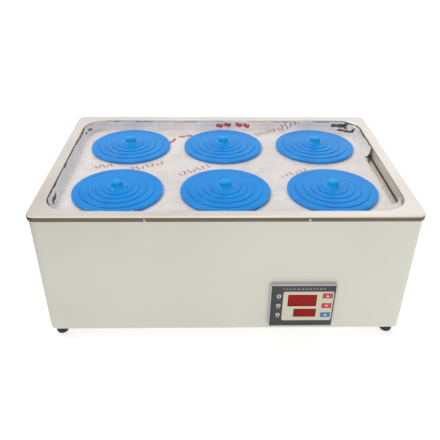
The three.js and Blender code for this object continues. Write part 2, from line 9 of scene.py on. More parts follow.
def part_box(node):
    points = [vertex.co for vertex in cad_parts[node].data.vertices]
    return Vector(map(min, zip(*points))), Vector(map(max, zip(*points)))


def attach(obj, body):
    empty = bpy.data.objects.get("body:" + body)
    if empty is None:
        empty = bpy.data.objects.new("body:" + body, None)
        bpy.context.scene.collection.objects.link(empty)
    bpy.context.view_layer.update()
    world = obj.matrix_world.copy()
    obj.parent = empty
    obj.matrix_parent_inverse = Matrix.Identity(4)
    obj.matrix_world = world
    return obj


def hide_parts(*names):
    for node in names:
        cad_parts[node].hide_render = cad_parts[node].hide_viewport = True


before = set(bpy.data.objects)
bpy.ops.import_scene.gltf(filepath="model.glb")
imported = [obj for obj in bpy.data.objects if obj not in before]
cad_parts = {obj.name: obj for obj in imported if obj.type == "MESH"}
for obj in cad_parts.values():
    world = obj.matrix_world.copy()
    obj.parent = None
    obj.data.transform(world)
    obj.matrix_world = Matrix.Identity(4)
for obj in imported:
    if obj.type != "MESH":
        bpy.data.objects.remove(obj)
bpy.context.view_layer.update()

MM = 0.001
QUARTER = math.pi / 2
SEED = 11
ENDS, SIDES = ("front", "back"), ("left", "right")
HOLES = [f"{row}_{column}" for row in ("back", "front") for column in ("left", "middle", "right")]
FEET = [f"foot_{end}_{side}" for end in ENDS for side in SIDES]


# ---- places, from the frame, in millimetres
def box(node):
    low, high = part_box(node)
    return low / MM, high / MM


def middle(node):
    low, high = box(node)
    return (low + high) / 2


RIM_LOW, RIM_HIGH = box("top_frame")
CASE_LOW, CASE_HIGH = box("casing_shell")
DECK_LOW, DECK_HIGH = box("deck_plate")
CENTRE = middle("top_frame")  # x and y of the rim's middle
RIM_TOP, DECK_Z = RIM_HIGH.z, DECK_HIGH.z
RIM_W, RIM_D = RIM_HIGH.x - RIM_LOW.x, RIM_HIGH.y - RIM_LOW.y
FRONT_Y, BACK_Y = CASE_LOW.y, CASE_HIGH.y
HOLE_SPOTS = [(middle(f"ring_1_{hole}") - CENTRE).xy for hole in HOLES]  # about the rim's middle

# sizes the frame's boxes don't give
STEEL_T = 1.2
LAND, SKIRT, RIM_R = 16, 7, 12  # width of the rim's top, height of its skirt and radius of its corners
OPENING_R = 38  # corners of the recess
LEDGE, LEDGE_Z = 9, RIM_LOW.z + STEEL_T  # the ledge that the deck stands on
OPEN_W, OPEN_D = RIM_W - 2 * LAND, RIM_D - 2 * LAND
CASE_R = 11.4
HOLE_R = 60
DRAIN_Z, DRAIN_HOLE_R = 99.0, 7.5


# ---- camera
CAMERA_AT = (-22.0, CENTRE.y - 733.0, RIM_TOP + 349.8)
PITCH, YAW, ROLL = 32.24, -1.29, 0.58  # degrees: down, left and clockwise
LENS, SENSOR = 43.0, 36.0


def linked(name, data):
    """A new object in the scene."""
    made = bpy.data.objects.new(name, data)
    bpy.context.scene.collection.objects.link(made)
    return made


def make_camera():
    data = bpy.data.cameras.new("camera")
    data.lens = LENS
    data.sensor_width = SENSOR
    data.clip_start = 0.01
    place = Matrix.Translation(Vector(CAMERA_AT) * MM)
    for angle, axis in ((YAW, "Z"), (90 - PITCH, "X"), (ROLL, "Z")):
        place = place @ Matrix.Rotation(math.radians(angle), 4, axis)
    camera = linked("camera", data)
    camera.matrix_world = place
    bpy.context.scene.camera = camera


# ---- materials
MATERIALS = {}


class Paint:
    """A node material under construction. Its texture coordinates are the object's own, in metres."""

    def __init__(self, name):
        self.material = MATERIALS[name] = bpy.data.materials.new(name)
        self.material.use_nodes = True
        self.tree = self.material.node_tree
        self.shader = self.tree.nodes["Principled BSDF"]
        self.coordinates = self.node("TexCoord").outputs["Object"]

    def node(self, kind, inputs=(), **settings):
        made = self.tree.nodes.new("ShaderNode" + kind)
        for key, value in settings.items():
            setattr(made, key, value)
        for key, value in dict(inputs).items():
            self.feed(made.inputs[key], value)
        return made

    def feed(self, socket, value):
        if isinstance(value, bpy.types.NodeSocket):
            self.tree.links.new(value, socket)
        else:
            socket.default_value = value

    def set(self, **values):
        for key, value in values.items():
            self.feed(self.shader.inputs[key.replace("_", " ")], value)

    def grain(self, scale, detail=3.0, stretch=(1, 1, 1), rough=0.5):
        spread = self.node("Mapping", {"Vector": self.coordinates, "Scale": stretch})
        kind = {"Vector": spread.outputs[0], "Scale": scale, "Detail": detail, "Roughness": rough}
        return self.node("TexNoise", kind).outputs[0]

    def between(self, factor, low, high, start=0.35, end=0.65):
        """A number that goes from low to high as factor goes from start to end."""
        ends = {"Value": factor, "From Min": start, "From Max": end, "To Min": low, "To Max": high}
        return self.node("MapRange", ends).outputs[0]

    def combined(self, operation, *values):
        return self.node("Math", enumerate(values), operation=operation).outputs[0]

    def mixed(self, factor, one, other):
        mix = self.node("Mix", data_type="RGBA")
        self.feed(mix.inputs["Factor"], factor)
        self.feed(mix.inputs["A"], one)
        self.feed(mix.inputs["B"], other)
        return mix.outputs["Result"]

    def patches(self, pattern, one, other):
        """Two colours, with soft borders between them that follow a noise pattern."""
        return self.mixed(self.between(pattern, 0, 1), one, other)

    def bump(self, height, distance, strength=1.0, under=None):
        inputs = {"Height": height, "Distance": distance, "Strength": strength}
        if under is not None:
            inputs["Normal"] = under
        return self.node("Bump", inputs).outputs[0]

    def parts(self, vector):
        return self.node("SeparateXYZ", {"Vector": vector}).outputs

    def upward(self):
        """How far the surface faces up: 1 where it is level, 0 where it is upright."""
        return self.parts(self.node("TexCoord").outputs["Normal"])["Z"]


def rgb(red, green, blue):
    """A colour given as 0 to 255 display values, as linear light."""
    linear = [((c / 255 + 0.055) / 1.055) ** 2.4 if c > 10 else c / 255 / 12.92 for c in (red, green, blue)]
    return (*linear, 1.0)


def dimmed(colour, share):
    return (*(c * share for c in colour[:3]), 1.0)


def enamel(name, colour):
    """Powder coat: an even colour with fine orange peel and faint soiling."""
    paint = Paint(name)
    peel = paint.bump(paint.grain(420.0, 2.0), 0.00006, 0.5)
    paint.set(Base_Color=paint.patches(paint.grain(6.0, 2.0), dimmed(colour, 0.95), colour), Normal=peel)
    paint.set(Roughness=paint.between(paint.grain(60.0), 0.34, 0.44), Coat_Weight=0.15, Coat_Roughness=0.25)


def brushed(name, colour, low, high, grain=(1.0, 40.0, 40.0), wave=0.0):
    """Metal with fine grain lines and soft variation in gloss."""
    paint = Paint(name)
    lines = paint.grain(60.0, 4.0, grain, 0.7)
    paint.set(Base_Color=paint.patches(paint.grain(9.0), dimmed(colour, 0.9), colour), Metallic=1.0)
    paint.set(Roughness=paint.between(lines, low, high))
    fine = paint.bump(lines, 0.00002, 0.6)
    if wave:
        fine = paint.bump(paint.grain(14.0, 1.0), wave, 1.0, fine)
    paint.set(Normal=fine)


def moulded(name, colour, rough, grain=900.0, depth=0.00003, coat=0.0):
    """Moulded plastic: slight unevenness in colour and gloss over a fine texture."""
    paint = Paint(name)
    paint.set(Base_Color=paint.patches(paint.grain(35.0), dimmed(colour, 0.88), colour))
    paint.set(Roughness=paint.between(paint.grain(140.0), rough * 0.85, rough * 1.2))
    paint.set(Normal=paint.bump(paint.grain(grain, 2.0), depth, 0.6), Coat_Weight=coat, Coat_Roughness=0.12)


# The knob's brighter blue is painted light, not a colour of its own.
LID_BLUE, LID_DARK, LID_KNOB_PAINTED_LIGHT = rgb(2, 141, 224), rgb(2, 131, 214), rgb(2, 158, 230)
KNOB_EDGE, KNOB_BORDER = 0.0085, 0.004  # radius of the knob's painted light (a brighter blue) and width of its soft border


def lid_plastic(name):
    """Blue plastic, glossier on rounded edges, with turning marks and a little light inside it. The knob is
    painted a brighter blue, as painted light.
    """
    paint = Paint(name)
    split = paint.parts(paint.coordinates)
    level = paint.node("CombineXYZ", {"X": split["X"], "Y": split["Y"]}).outputs[0]
    radius = paint.node("VectorMath", {0: level}, operation="LENGTH").outputs["Value"]
    turning = {"W": radius, "Scale": 900.0, "Detail": 3.0}
    marks = paint.node("TexNoise", turning, noise_dimensions="1D").outputs[0]
    cloud = paint.grain(30.0)
    knob = paint.between(radius, 1.0, 0.0, KNOB_EDGE, KNOB_EDGE + KNOB_BORDER)
    # the knob's brighter blue is painted light
    paint.set(Base_Color=paint.mixed(knob, paint.patches(cloud, LID_DARK, LID_BLUE), LID_KNOB_PAINTED_LIGHT), IOR=1.5)
    rounded = paint.between(paint.upward(), 1.0, 0.0, 0.75, 0.97)
    glint = paint.combined("MULTIPLY", rounded, paint.between(knob, 1.0, 0.1, 0.0, 1.0))
    paint.set(Roughness=paint.combined("MULTIPLY_ADD", glint, -0.1, paint.between(marks, 0.2, 0.32)))
    paint.set(Specular_IOR_Level=paint.between(glint, 0.12, 0.6, 0.0, 1.0))
    paint.set(Subsurface_Weight=0.08, Subsurface_Scale=0.004)
    paint.set(Normal=paint.bump(marks, 0.00002, 0.5, paint.bump(cloud, 0.00025, 0.5)))


FILM_WHITE = rgb(246, 240, 238)
FILM_ALPHA, WALL_ALPHA = 0.57, 0.82  # where it lies level, and where it stands up the walls


def film_plastic(name):
    """Thin clear packing film with glossy creases."""
    paint = Paint(name)
    cloud = paint.between(paint.grain(24.0), -0.08, 0.12)
    paint.set(Base_Color=FILM_WHITE, Roughness=paint.between(paint.grain(70.0), 0.06, 0.3))
    paint.set(IOR=1.45, Specular_IOR_Level=0.7)
    level = paint.combined("ABSOLUTE", paint.upward())
    paint.set(Alpha=paint.combined("ADD", cloud, paint.between(level, WALL_ALPHA, FILM_ALPHA, 0.3, 0.85)))
    paint.set(Normal=paint.bump(paint.grain(60.0, 4.0), 0.0006, 0.7))


def faded_ink_and_fold_shade(name, colour, alpha):
    """Ink printed thinly and unevenly on the film, also used for dark strips of painted reflection and
    painted shade in its folds.
    """
    paint = Paint(name)
    paint.set(Base_Color=colour, Roughness=0.4)
    paint.set(Alpha=paint.between(paint.grain(500.0), alpha * 0.55, min(alpha * 1.2, 1.0)))


def flat_ink(name, colour, rough=0.45):
    """Printed ink, slightly uneven in colour and gloss."""
    paint = Paint(name)
    paint.set(Base_Color=paint.patches(paint.grain(700.0), dimmed(colour, 0.92), colour))
    paint.set(Roughness=paint.between(paint.grain(300.0), rough * 0.9, rough * 1.15))


def red_filter_with_painted_glow(name):
    """Translucent red window in front of dark displays, with a faint painted glow though it gives no light
    of its own.
    """
    paint = Paint(name)
    paint.set(Base_Color=paint.patches(paint.grain(50.0), rgb(140, 8, 8), rgb(162, 14, 12)))
    paint.set(Roughness=0.25, Specular_IOR_Level=0.05)
    # The faint red emission is a painted glow.
    paint.set(Emission_Color=rgb(190, 10, 14), Emission_Strength=0.07)
    paint.set(Normal=paint.bump(paint.grain(260.0), 0.00003, 0.4))


def glowing(name, colour, strength):
    paint = Paint(name)
    paint.set(Base_Color=colour, Emission_Color=colour, Emission_Strength=strength)
    paint.set(Roughness=paint.between(paint.grain(400.0), 0.3, 0.5))


def wool_blanket(name):
    """Matted glass wool."""
    paint = Paint(name)
    fibres = paint.grain(170.0, 8.0, (1, 1, 3), 0.75)
    paint.set(Base_Color=paint.patches(fibres, rgb(196, 170, 96), rgb(232, 214, 158)))
    paint.set(Roughness=0.95, Sheen_Weight=0.4, Normal=paint.bump(fibres, 0.0015, 1.0))


def tinted_steel(name):
    """A heater's sheath, coloured straw to blue-grey by heat."""
    paint = Paint(name)
    paint.set(Base_Color=paint.patches(paint.grain(18.0), rgb(120, 112, 108), rgb(168, 142, 104)))
    paint.set(Metallic=1.0, Roughness=paint.between(paint.grain(120.0), 0.3, 0.5))
    paint.set(Normal=paint.bump(paint.grain(500.0), 0.00003, 0.6))


def circuit_board(name):
    """Green solder mask with copper traces under it."""
    paint = Paint(name)
    bricks = {"Vector": paint.coordinates, "Scale": 90.0, "Mortar Size": 0.03}
    cells = paint.node("TexBrick", bricks).outputs["Fac"]
    paint.set(Base_Color=paint.mixed(cells, rgb(24, 92, 56), rgb(60, 140, 80)))
    paint.set(Roughness=0.35, Normal=paint.bump(cells, 0.00005, 0.5))


def make_materials():
    enamel("enamel", rgb(214, 212, 200))
    brushed("rim_steel", rgb(223, 217, 208), 0.26, 0.34, (14.0, 14.0, 14.0))
    # The skirt is the rim's steel; its darker, browner colour is a painted reflection of dark surroundings.
    brushed("skirt_steel_painted_dark", rgb(112, 100, 86), 0.25, 0.45, (4.0, 40.0, 90.0))
    brushed("deck_steel", rgb(226, 221, 214), 0.16, 0.3, wave=0.002)
    brushed("tank_steel", rgb(222, 221, 218), 0.42, 0.6)
    brushed("shelf_steel", rgb(218, 217, 214), 0.5, 0.65)
    brushed("base_steel", rgb(170, 171, 172), 0.4, 0.6, (12, 12, 12))
    brushed("screw_steel", rgb(196, 194, 190), 0.2, 0.35, (20, 20, 20))
    brushed("probe_steel", rgb(196, 196, 196), 0.25, 0.4)
    brushed("brass", rgb(208, 168, 98), 0.22, 0.4, (20, 20, 20))
    tinted_steel("heater_steel")
    lid_plastic("lid_blue")
    film_plastic("film")
    wool_blanket("insulation")
    moulded("foot_rubber", rgb(28, 28, 28), 0.6, 1400.0, 0.00006)
    moulded("housing_black", rgb(40, 40, 42), 0.5)
    moulded("rocker_black", rgb(26, 26, 28), 0.25)
    moulded("bezel_silver", rgb(196, 196, 194), 0.32)
    moulded("panel_black", rgb(52, 50, 56), 0.4, 1500.0, 0.00002)
    moulded("button_red", rgb(196, 44, 56), 0.32, coat=0.4)
    moulded("button_blue", rgb(44, 118, 184), 0.32, coat=0.4)
    moulded("light_pipe", rgb(90, 88, 92), 0.15, coat=0.5)
    moulded("lever_red", rgb(172, 30, 34), 0.4, coat=0.2)
    flat_ink("panel_cream", rgb(206, 205, 182))
    flat_ink("ink_white", rgb(236, 236, 236))
    flat_ink("ink_grey", rgb(150, 150, 152))
    faded_ink_and_fold_shade("ink_red", rgb(206, 42, 44), 0.9)
    faded_ink_and_fold_shade("ink_pink", rgb(186, 66, 92), 0.8)
    # The dark marks are painted reflection and painted shade in the film's folds and along the walls, not
    # print.
    faded_ink_and_fold_shade("painted_fold_dark", rgb(34, 34, 38), 0.8)
    red_filter_with_painted_glow("display_red")
    glowing("digit_dim", rgb(104, 6, 5), 0.02)
    circuit_board("circuit_board")


# ---- outlines
def softened(points, radius, steps=3, closed=True):
    """A polygon in two coordinates, its corners rounded. A point's third number is a radius of its own."""
    result = []
    count = len(points)
    for i, point in enumerate(points):
        here = Vector(point[:2])
        size = point[2] if len(point) > 2 else radius
        if size <= 0 or (not closed and i in (0, count - 1)):
            result.append(here)
            continue
        before, after = Vector(points[i - 1][:2]), Vector(points[(i + 1) % count][:2])
        back, on = before - here, after - here
        size = min(size, 0.49 * back.length, 0.49 * on.length)
        start, end = here + back.normalized() * size, here + on.normalized() * size
        for k in range(steps + 1):
            t = k / steps
            result.append(start * (1 - t) ** 2 + here * 2 * t * (1 - t) + end * t ** 2)
    return result


def rounded_rect(width, depth, radius, steps=8):
    """A rounded rectangle about the origin, anticlockwise."""
    points = []
    for quarter, (sx, sy) in enumerate([(1, -1), (1, 1), (-1, 1), (-1, -1)]):
        for k in range(steps + 1):
            a = QUARTER * (quarter - 1 + k / steps)
            x = sx * (width / 2 - radius) + radius * math.cos(a)
            points.append((x, sy * (depth / 2 - radius) + radius * math.sin(a)))
    return points


def moved(points, x, y):
    return [(px + x, py + y) for px, py in points]


def rect_at(x, y, width, height, radius=0.8):
    return moved(rounded_rect(width, height, radius, 4), x, y)


def circle(x, y, radius, sides=96):
    angles = [2 * math.pi * k / sides for k in range(sides)]
    return [(x + radius * math.cos(a), y + radius * math.sin(a)) for a in angles]


def inset_rings(width, depth, radius, profile):
    """Rounded rectangles (width, depth, corner radius, height) inside an outer one, from (inset, height)."""
    return [(width - 2 * inset, depth - 2 * inset, max(radius - inset, 1.0), z) for inset, z in profile]


# ---- meshes, from sizes in millimetres
def smoothed(mesh, sharp=35.0):
    mesh.shade_smooth()
    mesh.set_sharp_from_angle(angle=math.radians(sharp))
    return mesh


def mesh_from(name, vertices, faces, sharp=35.0):
    """A mesh from vertices in metres, its faces turned outwards."""
    mesh = bpy.data.meshes.new(name)
    mesh.from_pydata([tuple(v) for v in vertices], [], [tuple(f) for f in faces])
    mesh.update()
    facing = bmesh.new()
    facing.from_mesh(mesh)
    bmesh.ops.recalc_face_normals(facing, faces=facing.faces[:])
    facing.to_mesh(mesh)
    facing.free()
    return smoothed(mesh, sharp)


def piece(name, mesh, material, body="bath", stands_for=(), at=(0, 0, 0)):
    """A shown piece of the object, in place, riding on its body."""
    made = linked(name, mesh)
    if not mesh.materials:
        mesh.materials.append(MATERIALS[material])
    made.location = Vector(at) * MM
    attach(made, body)
    if stands_for:
        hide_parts(*stands_for)
    return made


def joined(name, meshes):
    """Several closed meshes as one."""
    vertices, faces = [], []
    for mesh in meshes:
        base = len(vertices)
        vertices += [v.co.copy() for v in mesh.vertices]
        faces += [[base + i for i in p.vertices] for p in mesh.polygons]
    return mesh_from(name, vertices, faces)


def shifted(mesh, x, y, z=0):
    mesh.transform(Matrix.Translation(Vector((x, y, z)) * MM))
    return mesh


def aimed(mesh, axis, at=(0, 0, 0)):
    """A mesh made about the vertical axis, turned to another axis through a place."""
    mesh.transform(Vector((0, 0, 1)).rotation_difference(Vector(axis)).to_matrix().to_4x4())
    return shifted(mesh, *at)


def upright(mesh, at):
    """A mesh drawn flat, x right and y up, turned to face the user, its origin at a place."""
    mesh.transform(Matrix.Rotation(QUARTER, 4, "X"))
    return shifted(mesh, *at)


def with_next(rings, closed):
    """Each ring with the one after it, and the last with the first if the row of rings is closed."""
    return zip(rings, rings[1:] + (rings[:1] if closed else []))


def turned(name, profile, sides=96, closed=False):
    """A lathe mesh about the vertical axis, from a profile of (radius, height)."""
    vertices, rings = [], []
    for r, z in profile:
        if r < 1e-6:
            rings.append([len(vertices)] * sides)
            vertices.append((0, 0, z * MM))
            continue
        rings.append(list(range(len(vertices), len(vertices) + sides)))
        vertices += [(x * MM, y * MM, z * MM) for x, y in circle(0, 0, r, sides)]
    faces = []
    for low, high in with_next(rings, closed):
        for k in range(sides):
            n = (k + 1) % sides
            corners = list(dict.fromkeys((low[k], low[n], high[n], high[k])))
            if len(corners) > 2:
                faces.append(corners)
    return mesh_from(name, vertices, faces)


def lathed(name, profile, edge, steps, sides):
    """A solid lathe mesh, from a profile that starts and ends on the axis, its corners rounded."""
    return turned(name, softened(profile, edge, steps, closed=False), sides)


def lofted(name, rings, closed=False):
    """Rounded rectangles about the rim's middle, joined in order. Open ends are capped."""
    vertices, loops = [], []
    for width, depth, radius, z in rings:
        outline = moved(rounded_rect(width, depth, radius), CENTRE.x, CENTRE.y)
        loops.append(list(range(len(vertices), len(vertices) + len(outline))))
        vertices += [(x * MM, y * MM, z * MM) for x, y in outline]
    faces = []
    for low, high in with_next(loops, closed):
        faces += [(low[k - 1], low[k], high[k], high[k - 1]) for k in range(len(low))]
    if not closed:
        faces += [tuple(reversed(loops[0])), tuple(loops[-1])]
    return mesh_from(name, vertices, faces)


def evaluated(holder):
    """The mesh of an object after its curve or its modifiers are worked out."""
    bpy.context.view_layer.update()
    return bpy.data.meshes.new_from_object(holder.evaluated_get(bpy.context.evaluated_depsgraph_get()))


def sheet_plate(name, outline, holes, low, high, edge=0.3, steps=2):
    """A flat plate between two heights, cut from outlines of (x, y) points, with softened edges."""
    curve = bpy.data.curves.new(name, "CURVE")
    curve.dimensions = "2D"
    curve.fill_mode = "BOTH"
    for points in [outline, *holes]:
        spline = curve.splines.new("POLY")
        spline.points.add(len(points) - 1)
        for target, (x, y) in zip(spline.points, points):
            target.co = (x * MM, y * MM, 0, 1)
        spline.use_cyclic_u = True
    curve.extrude = ((high - low) / 2 - edge) * MM
    curve.bevel_depth = edge * MM
    curve.bevel_resolution = steps
    curve.offset = -edge * MM
    holder = linked(name, curve)
    mesh = evaluated(holder)
    bpy.data.objects.remove(holder)
    bpy.data.curves.remove(curve)
    welded = bmesh.new()
    welded.from_mesh(mesh)
    bmesh.ops.translate(welded, verts=welded.verts, vec=(0, 0, (high + low) / 2 * MM))
    bmesh.ops.remove_doubles(welded, verts=welded.verts, dist=1e-6)
    bmesh.ops.recalc_face_normals(welded, faces=welded.faces[:])
    welded.to_mesh(mesh)
    welded.free()
    mesh.name = name
    mesh.materials.clear()
    return smoothed(mesh)


def extruded(name, outline, low, high):
    """A bar along x from low to high, from an outline of (y, z) points."""
    mesh = sheet_plate(name, outline, [], low, high, 0.15)
    mesh.transform(Matrix(((0, 0, 1, 0), (1, 0, 0, 0), (0, 1, 0, 0), (0, 0, 0, 1))))
    return mesh


def swept(name, path, radius, sides=24):
    """A round tube with closed ends along a level path of points."""
    vertices, faces = [], []
    for i, here in enumerate(path):
        before, after = Vector(path[max(i - 1, 0)]), Vector(path[min(i + 1, len(path) - 1)])
        along = (after - before).normalized()
        side = Vector((along.y, -along.x, 0))
        for out, up in circle(0, 0, radius, sides):
            vertices.append((Vector(here) + side * out + Vector((0, 0, up))) * MM)
    for i in range(len(path) - 1):
        for k in range(sides):
            n = (k + 1) % sides
            faces.append((i * sides + k, i * sides + n, (i + 1) * sides + n, (i + 1) * sides + k))
    faces += [tuple(range(sides)), tuple(range(len(vertices) - sides, len(vertices)))]
    return mesh_from(name, vertices, faces)


def stepped(name, steps, axis, at):
    """Turned steps (radius, start, end, sides, edge) one after the other along an axis, as one mesh."""
    meshes = []
    for radius, start, end, sides, edge in steps:
        profile = [(0, start), (radius, start, edge), (radius, end, edge), (0, end)]
        meshes.append(lathed(name, profile, edge, 3, sides))
    return aimed(joined(name, meshes), axis, at)


# ---- cutting
WALL_CUT = 4  # how far a cutter reaches to each side of a wall
CROSS_W, CROSS_LOW, CROSS_HIGH, CROSS_TURN = 0.55, 0.75, 1.95, 0.4  # a screw's recess


def carved(mesh, cutter, sharp=35.0):
    """The mesh with the cutter's closed bodies taken out of it."""
    tool_mesh = bpy.data.meshes.new("cutter")
    cutter.to_mesh(tool_mesh)
    cutter.free()
    target, tool = linked("target", mesh), linked("tool", tool_mesh)
    cut = target.modifiers.new("cut", "BOOLEAN")
    cut.object = tool
    cut.solver = "EXACT"
    cut.use_self = True
    result = evaluated(target)
    for used in (target, tool):
        bpy.data.objects.remove(used)
    result.name = mesh.name
    return smoothed(result, sharp)


def add_box(mesh, low, high):
    """Adds a box between two corners to a bmesh."""
    low, high = Vector(low) * MM, Vector(high) * MM
    corners = bmesh.ops.create_cube(mesh, size=1)["verts"]
    bmesh.ops.scale(mesh, verts=corners, vec=high - low)
    bmesh.ops.translate(mesh, verts=corners, vec=(high + low) / 2)
    return corners


def add_prism(mesh, outline, low_y, high_y):
    """Adds a closed prism between two depths to a bmesh, from an outline of (x, z) points."""
    near, far = [[mesh.verts.new(Vector((x, y, z)) * MM) for x, z in outline] for y in (low_y, high_y)]
    for k in range(len(outline)):
        mesh.faces.new((near[k - 1], near[k], far[k], far[k - 1]))
    mesh.faces.new(list(reversed(near)))
    mesh.faces.new(far)
    bmesh.ops.recalc_face_normals(mesh, faces=mesh.faces[:])


def cut_round(cutter, radius, at, about=None, sides=48):
    """Cuts a round hole through a wall: a level one, or one turned by a quarter about the axis X or Y."""
    size = {"radius1": radius * MM, "radius2": radius * MM, "depth": 2 * WALL_CUT * MM}
    corners = bmesh.ops.create_cone(cutter, cap_ends=True, segments=sides, **size)["verts"]
    if about:
        quarter = Matrix.Rotation(QUARTER, 3, about)
        bmesh.ops.rotate(cutter, verts=corners, cent=(0, 0, 0), matrix=quarter)
    bmesh.ops.translate(cutter, verts=corners, vec=Vector(at) * MM)


def cut_window(cutter, wall, low, high):
    """Cuts through an upright wall at a depth, from one corner (x, z) to the other."""
    add_box(cutter, (low[0], wall - WALL_CUT, low[1]), (high[0], wall + WALL_CUT, high[1]))


def blocks(name, boxes, edge):
    """Boxes given by their low and high corners, with bevelled edges, as one mesh."""
    made = bmesh.new()
    for low, high in boxes:
        add_box(made, low, high)
    bmesh.ops.bevel(made, geom=made.edges[:], offset=edge * MM, segments=2, affect="EDGES", profile=0.5)
    mesh = bpy.data.meshes.new(name)
    made.to_mesh(mesh)
    made.free()
    return smoothed(mesh, 40.0)


def cross_screw(name, at, outward, radius):
    """A pan-head screw with a cross recess. outward is the direction its head faces."""
    side = [(0, -0.4), (radius, -0.4), (radius, 0.5, 0.5), (radius * 0.62, 1.25, 0.6), (0, 1.4)]
    cutter = bmesh.new()
    half = radius * 1.15 / 2
    for turn in (CROSS_TURN, CROSS_TURN + QUARTER):
        corners = add_box(cutter, (-half, -CROSS_W / 2, CROSS_LOW), (half, CROSS_W / 2, CROSS_HIGH))
        bmesh.ops.rotate(cutter, verts=corners, cent=(0, 0, 0), matrix=Matrix.Rotation(turn, 3, "Z"))
    head = carved(lathed(name, side, 0.2, 3, 28), cutter)
    piece(name, aimed(head, outward), "screw_steel", at=at)


# ---- enclosure
SKIRT_OUT = 0.46  # upright faces further out than this share of the rim are the skirt, painted darker as painted reflection
SKIRT_SCREW_R, SKIRT_SCREW_X, SKIRT_SCREW_Y = 2.1, 105, 130
CASE_FLANGE = 26
VENTS, VENT_STEP, VENT_LENGTH, VENT_HEIGHT, VENT_Z = 5, 9, 90, 3.4, 36
INLET_LAP = 3  # the inlet's plate laps the casing by this
FOOT = [(0, 0), (6.6, 0), (8.4, 1.8), (9.0, 8.0), (9.0, 14.8), (3.0, 14.8), (0, 14.8)]
BASE_SLOTS, BASE_SLOT_Y, BASE_SLOT_L, BASE_SLOT_W, STUD_R = (-150, -90, -30, 30), 70, 40, 5, 2.8
BASE_SCREW_R, BASE_SCREW_X, BASE_SCREW_Y = 3.2, 60, 12  # radius, and distances in from the plate's edges


def make_top_frame():
    t = STEEL_T
    outer = [(t, RIM_TOP - SKIRT), (0, RIM_TOP - SKIRT), (0, RIM_TOP, 0.9), (LAND / 2, RIM_TOP)]
    inner = [(-LAND / 2, RIM_TOP), (0, RIM_TOP, 1.6), (0, LEDGE_Z, 1.5), (LEDGE, LEDGE_Z, 0.4)]
    inner += [(LEDGE, LEDGE_Z - t, 0.4), (-t, LEDGE_Z - t, 1.5), (-t, RIM_TOP - t, 2.0)]
    rings = inset_rings(RIM_W, RIM_D, RIM_R, softened(outer, 0.5, 5, closed=False))
    rings += inset_rings(OPEN_W, OPEN_D, OPENING_R, softened(inner, 0.5, 5, closed=False))
    rings += inset_rings(RIM_W, RIM_D, RIM_R, [(t, RIM_TOP - t)])
    mesh = lofted("top_frame_fine", rings, closed=True)
    mesh.materials.append(MATERIALS["rim_steel"])
    mesh.materials.append(MATERIALS["skirt_steel_painted_dark"])
    # The skirt's upright faces take the darker steel: painted reflection.
    for face in mesh.polygons:
        x, y, z = face.center / MM
        is_upright = abs(face.normal.z) < 0.5 and RIM_TOP - SKIRT - 1 < z < RIM_TOP - 1
        is_outside = max(abs(x - CENTRE.x) / RIM_W, abs(y - CENTRE.y) / RIM_D) > SKIRT_OUT
        face.material_index = int(is_upright and is_outside)
    piece("top_frame_fine", mesh, "rim_steel", stands_for=["top_frame"])


def make_skirt_screws():
    z = RIM_TOP - 0.62 * SKIRT
    for sx, side, edge_x in zip((-1, 1), SIDES, (RIM_LOW.x, RIM_HIGH.x)):
        for sy, end, edge_y in zip((-1, 1), ENDS, (RIM_LOW.y, RIM_HIGH.y)):
            on_end = (sx * SKIRT_SCREW_X, edge_y, z)
            on_side = (edge_x, CENTRE.y + sy * SKIRT_SCREW_Y, z)
            cross_screw(f"skirt_screw_{end}_{side}", on_end, (0, sy, 0), SKIRT_SCREW_R)
            cross_screw(f"skirt_screw_{side}_{end}", on_side, (sx, 0, 0), SKIRT_SCREW_R)


def make_casing():
    low, high, t, flange = CASE_LOW.z, CASE_HIGH.z, STEEL_T, CASE_FLANGE
    profile = [(0, high), (0, low, 1.8), (flange, low), (flange, low + t), (t, low + t, 1.0), (t, high)]
    rings = inset_rings(CASE_HIGH.x - CASE_LOW.x, BACK_Y - FRONT_Y, CASE_R, softened(profile, 0.3, 4))
    cutter = bmesh.new()
    housing, inlet = box("controller_housing"), box("power_inlet")
    lap = Vector((INLET_LAP, INLET_LAP))
    cut_window(cutter, FRONT_Y, housing[0].xz, housing[1].xz)
    cut_window(cutter, BACK_Y, inlet[0].xz + lap, inlet[1].xz - lap)
    cut_round(cutter, DRAIN_HOLE_R, (middle("drain_valve").x, BACK_Y, DRAIN_Z), "X")
    for i in range(VENTS):
        z = VENT_Z + i * VENT_STEP
        cut_window(cutter, BACK_Y, (-VENT_LENGTH / 2, z), (VENT_LENGTH / 2, z + VENT_HEIGHT))
    shell = carved(lofted("casing_fine", rings, closed=True), cutter)
    piece("casing_fine", shell, "enamel", stands_for=["casing_shell"])


def make_feet():
    mesh = lathed("foot_fine", FOOT, 0.8, 4, 64)
    for node in FEET:
        piece(f"{node}_fine", mesh, "foot_rubber", stands_for=[node], at=(*middle(node).xy, 0))


def make_base():
    low, high = box("base_plate")
    width, depth = high.x - low.x, high.y - low.y
    holes = [circle(*(middle(node) - CENTRE).xy, STUD_R, 24) for node in FEET]
    for x in BASE_SLOTS:
        for y in (-BASE_SLOT_Y, BASE_SLOT_Y):
            holes.append(moved(rounded_rect(BASE_SLOT_L, BASE_SLOT_W, 2.45, 6), x, y))
    outline = rounded_rect(width, depth, CASE_R - 2)
    plate = shifted(sheet_plate("base_plate_fine", outline, holes, low.z, high.z, 0.2), CENTRE.x, CENTRE.y)
    piece("base_plate_fine", plate, "base_steel", stands_for=["base_plate"])
    for sx in (-1, 0, 1):
        for sy in (-1, 1):
            x = CENTRE.x + sx * (width / 2 - BASE_SCREW_X)
            y = CENTRE.y + sy * (depth / 2 - BASE_SCREW_Y)
            cross_screw(f"base_screw_{sx + 1}_{sy + 1}", (x, y, CASE_LOW.z), (0, 0, -1), BASE_SCREW_R)


